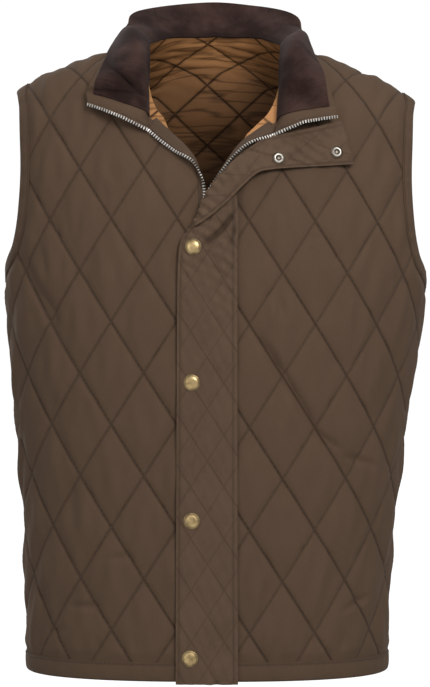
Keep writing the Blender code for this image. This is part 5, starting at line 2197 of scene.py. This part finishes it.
@dataclass(frozen=True)
class ZipTeeth:
    """Row of metal teeth along a zip edge."""

    pitch: float = 0.0029
    width: float = 0.0014
    reach: tuple[float, float] = (-0.0012, 0.0019)
    thick: float = 0.0021
    head: float = 0.62
    sharp: float = 30.0

    def build(self, name: str, row: Array) -> None:
        """Make the teeth.

        Args:
            name: Object name.
            row: The line inside the zip edge, and the edge.
        """
        inner, edge = row
        count = int(line_length(edge) / self.pitch)
        both = even_line(np.concatenate((edge, inner), axis=1), count)
        spot, inner = both[:, :3], both[:, 3:]
        run = unit(np.gradient(spot, axis=0))
        out = spot - inner
        out = unit(out - np.einsum("ij,ij->i", out, run)[:, None] * run)
        up = np.cross(run, out)
        corners = []
        for reach, share in ((self.reach[0], 1.0), (self.reach[1], self.head)):
            for a, b in ((-1, -1), (1, -1), (1, 1), (-1, 1)):
                beside = a * self.width * run + b * self.thick * up
                corners.append(spot + reach * out + 0.5 * share * beside)
        points = np.stack(corners, axis=1)
        shape = np.array(((3, 2, 1, 0), (4, 5, 6, 7), (0, 1, 5, 4), (1, 2, 6, 5), (2, 3, 7, 6), (3, 0, 4, 7)))
        base = np.arange(len(points))[:, None, None] * 8
        faces = [tuple(f) for f in (shape[None] + base).reshape(-1, 4).tolist()]
        teeth = make_mesh(name, points.reshape(-1, 3), faces, ZINC.material(), sharp=self.sharp)
        place_piece(teeth, "nickel")


@dataclass(frozen=True)
class Snap:
    """Round snap part turned from a profile of radius and height."""

    profile: Sequence[tuple[float, float]]
    # Rings given the dark finish: a blackened rim and hollow on the caps, painted shade round the flange and
    # down the hole on the sockets.
    dark_rings: tuple[int, ...]
    slot: str
    tall: float
    metal: MetalFinish
    sides: int = 36
    sharp: float = 40.0

    def build(self, node: str, form: BodyForm) -> None:
        """Make the snap part where its CAD node sits.

        Args:
            node: CAD node that it stands for.
            form: The body form, for its direction.
        """
        low, high = (np.array(corner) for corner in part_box(node))
        middle = 0.5 * (low + high)
        axis = form.normals(Face.FRONT, form.flat(Face.FRONT, middle[0], middle[2])[None])[0]
        side = unit(np.cross(axis, (0.0, 0.0, 1.0)))
        other = np.cross(axis, side)
        foot = middle - 0.5 * self.tall * axis
        turn = 2.0 * math.pi * np.arange(self.sides) / self.sides
        ring = np.cos(turn)[:, None] * side + np.sin(turn)[:, None] * other
        layers = [foot + h * axis + r * ring for r, h in self.profile]
        ends = [(foot + self.profile[k][1] * axis)[None] for k in (0, -1)]
        points = np.concatenate([*layers, *ends])
        faces, last = [], len(self.profile) - 1
        for k in range(self.sides):
            after = (k + 1) % self.sides
            for ring_number in range(last):
                a, b = ring_number * self.sides, (ring_number + 1) * self.sides
                faces.append((a + k, a + after, b + after, b + k))
            faces.append((len(points) - 2, after, k))
            faces.append((len(points) - 1, last * self.sides + k, last * self.sides + after))
        piece = make_mesh(f"{node}_metal", points, faces, self.metal.material(), sharp=self.sharp)
        # Dark rings: blackened brass on the caps, painted shade on the sockets.
        piece.data.materials.append(BLACKENED_AND_PAINTED_SHADE.material())
        for polygon, face in zip(piece.data.polygons, faces):
            rings = {corner // self.sides for corner in face}
            polygon.material_index = int(max(rings) in self.dark_rings)
        place_piece(piece, self.slot, node)


CAP = Snap(
    profile=(
        (0.007, 0.0), (0.008, 0.0002), (0.0083, 0.0008), (0.008, 0.0013), (0.0075, 0.0015),
        (0.0071, 0.0016), (0.0067, 0.0023), (0.0056, 0.0028), (0.004, 0.0032), (0.002, 0.0034),
        (0.0003, 0.0034),
    ),
    dark_rings=(1, 2, 5),
    slot="brass",
    tall=0.0034,
    metal=BRASS,
)
# Painted shade: the socket's dark rings, round its flange and down its hole, stand for shade.
SOCKET = Snap(
    profile=(
        (0.0062, 0.0), (0.0068, 0.0002), (0.0068, 0.0007), (0.0064, 0.001), (0.005, 0.001),
        (0.0047, 0.0016), (0.0042, 0.0022), (0.0036, 0.0022), (0.0031, 0.0018), (0.0028, 0.0006),
        (0.0013, 0.0006), (0.0009, 0.001), (0.0002, 0.0012),
    ),
    dark_rings=(1, 2, 3, 4, 9, 10),
    slot="nickel",
    tall=0.0022,
    metal=NICKEL,
)
SNAP_CAPS = {
    "snap_cap_top": Spot(-0.0232, -0.2170),
    "snap_cap_upper": Spot(-0.0248, -0.3560),
    "snap_cap_lower": Spot(-0.0250, -0.4985),
    "snap_cap_bottom": Spot(-0.0268, -0.6410),
}
SNAP_SOCKETS = {
    "snap_socket_lower": Spot(0.0640, -0.1262),
    "snap_socket_upper": Spot(0.1235, -0.1187),
}


@dataclass(frozen=True)
class Lamp:
    """Soft square light."""

    name: str
    place: Colour
    size: float
    power: float

    def build(self, target: Vector) -> None:
        """Hang the light so that it faces a point.

        Args:
            target: The point.
        """
        lamp = bpy.data.lights.new(self.name, "AREA")
        lamp.size, lamp.energy = self.size, self.power
        held = bpy.data.objects.new(self.name, lamp)
        held.location = self.place
        held.rotation_euler = (target - Vector(self.place)).to_track_quat("-Z", "Y").to_euler()
        bpy.context.scene.collection.objects.link(held)


@dataclass(frozen=True)
class Studio:
    """Pale floor, soft light and the camera."""

    middle: Colour = (-0.0011, 0.0, -0.316)
    distance: float = 2.5
    frame_height: float = 0.74540
    sensor: float = 36.0
    floor_height: float = -1.45
    room: float = 30.0
    sky: float = 0.32
    lamps: tuple[Lamp, ...] = (
        Lamp("key", (1.0, -2.5, 1.1), 1.2, 66.0),
        Lamp("fill", (-1.5, -2.5, 0.3), 1.6, 17.0),
        Lamp("top", (0.1, -0.5, 2.0), 1.2, 9.0),
        Lamp("back", (-1.9, 2.4, 1.0), 1.2, 34.0),
    )

    def surface(self, finish: GlowFinish, points: list[Colour], faces: list[tuple[int, ...]]) -> None:
        """Add a studio surface that shows but throws no light on the garment.

        Args:
            finish: Its finish, which also names it.
            points: Corners.
            faces: Corner numbers of each face.
        """
        mesh = bpy.data.meshes.new(finish.name)
        mesh.from_pydata(points, [], faces)
        mesh.materials.append(finish.material())
        shown = bpy.data.objects.new(finish.name, mesh)
        shown.visible_diffuse = False
        shown.visible_shadow = False
        bpy.context.scene.collection.objects.link(shown)

    def build(self) -> None:
        """Set up floor, walls, light and camera."""
        scene = bpy.context.scene
        half, low = self.room, self.floor_height
        square = [(-half, -half), (half, -half), (half, half), (-half, half)]
        self.surface(FLOOR, [(x, y, low) for x, y in square], [(0, 1, 2, 3)])
        walls = [(x, y, z) for z in (low, half) for x, y in square]
        sides = [(k, (k + 1) % 4, 4 + (k + 1) % 4, 4 + k) for k in range(4)]
        self.surface(BACKDROP, walls, [*sides, (4, 5, 6, 7)])
        target = Vector(self.middle)
        for lamp in self.lamps:
            lamp.build(target)
        world = bpy.data.worlds.new("studio")
        world.use_nodes = True
        sky = world.node_tree.nodes["Background"]
        sky.inputs["Color"].default_value = (1.0, 1.0, 1.0, 1.0)
        sky.inputs["Strength"].default_value = self.sky
        scene.world = world
        scene.view_settings.view_transform = "Standard"
        lens = bpy.data.cameras.new("camera")
        lens.sensor_width = self.sensor
        lens.lens = self.sensor * self.distance / self.frame_height
        camera = bpy.data.objects.new("camera", lens)
        camera.location = target - Vector((0.0, self.distance, 0.0))
        camera.rotation_euler = (0.5 * math.pi, 0.0, 0.0)
        scene.collection.objects.link(camera)
        scene.camera = camera


# Each quilt's falling and rising numbers set how dark the painted shade is in its two families of lines.
SHELL_QUILTS = {
    Side.RIGHT: Quilt(-0.1090, -0.293, 0.0687, 0.1067, 18, 0.85, 0.5),
    Side.LEFT: Quilt(0.1030, -0.296, 0.0687, 0.1067, 18, 0.9, 0.42),
}
BACK_QUILT = Quilt(0.0, -0.293, 0.0687, 0.1067, 18, 0.8, 0.8)
FLAP_QUILT = Quilt(0.338, 0.031, 0.0534, 0.0343, 6, 0.26, 0.4, 0.0015)
LINING_QUILT = Quilt(0.0265, -0.058, 0.0730, 0.0660, 14, 0.9, 0.9, 0.0021)


def build_panels(form: BodyForm, cut: Cut) -> None:
    """Make the quilted shell and lining.

    Args:
        form: The body form.
        cut: Pattern lines.
    """
    inset = LINING_DEPTH + LINING_WALL + LINING_LOFT
    lining = LINING.quilted(LINING_QUILT)
    for side in Side:
        name, quilt = f"front_{side.name.lower()}", SHELL_QUILTS[side]
        edge = np.concatenate((cut.front_foot(side, HEM_HEIGHT)[None], cut.neck_edge(side, NO_LIP)))
        outline = cut.front(side, 0.0, 0.0, NO_LIP)
        panel = ShellPanel(name, Face.FRONT, outline, quilt, FRONT_CREASES[side], form, flat_line=edge)
        panel.build(SHELL.quilted(quilt))
        outline = cut.front(side, inset, LINING_NECK, LINING_LIPS[side])
        panel = LiningPanel(f"lining_{name}", Face.FRONT, outline, LINING_QUILT, (), form)
        panel.drop = FRONT_LINING_SHADE_DROP
        panel.build(lining)
    back = ShellPanel("back", Face.BACK, cut.back(0.0, 0.0), BACK_QUILT, BACK_CREASES, form, seed=5)
    back.build(SHELL.quilted(BACK_QUILT))
    outline = cut.back(inset, LINING_NECK)
    LiningPanel("lining_back", Face.BACK, outline, LINING_QUILT, (), form).build(lining)


def build_bands(form: BodyForm, cut: Cut) -> None:
    """Make the armhole bands and hems.

    Args:
        form: The body form.
        cut: Pattern lines.
    """
    for side in Side:
        name = side.name.lower()
        ArmholeBand(f"armhole_band_{name}", form, ARMHOLE_BAND, side=side).build(cut)
        side_end = float(form.side_arc(Face.FRONT, side, HEM_HEIGHT))
        start, end = sorted((float(cut.front_foot(side, HEM_HEIGHT)[0]), side_end))
        hem = HemBand(f"hem_band_front_{name}", form, HEM_BAND, face=Face.FRONT, start=start, end=end)
        hem.build()
    start, end = (float(form.side_arc(Face.BACK, side, HEM_HEIGHT)) for side in Side)
    HemBand("hem_band_back", form, HEM_BAND, face=Face.BACK, start=start, end=end).build()


def main() -> None:
    """Build the garment's looks and the studio."""
    logging.basicConfig(level=logging.INFO, format="%(message)s")
    form = BodyForm()
    cut = Cut(form)
    build_panels(form, cut)
    build_bands(form, cut)
    tapes = {side: ZipTape(side, form).build() for side in Side}
    corners = {side: tape[1, -1] for side, tape in tapes.items()}
    facings = Collar(form, cut).build(corners)
    snaps = [*SNAP_CAPS.values(), *SNAP_SOCKETS.values()]
    StormFlap(form, snaps, FLAP_CLOTH.quilted(FLAP_QUILT)).build()
    for side in Side:
        zip_row = np.concatenate((tapes[side], facings[side][:, 1:]), axis=1)
        ZipTeeth().build(f"zip_teeth_{side.name.lower()}", zip_row)
    for snap, nodes in ((CAP, SNAP_CAPS), (SOCKET, SNAP_SOCKETS)):
        for node in nodes:
            snap.build(node, form)
    for node in ("zip_slider", "zip_pull"):
        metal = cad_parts[node]
        metal.data.materials.clear()
        metal.data.materials.append(NICKEL.material())
        LOG.info("%s kept from the CAD", node)
    Studio().build()


if __name__ == "__main__":
    main()
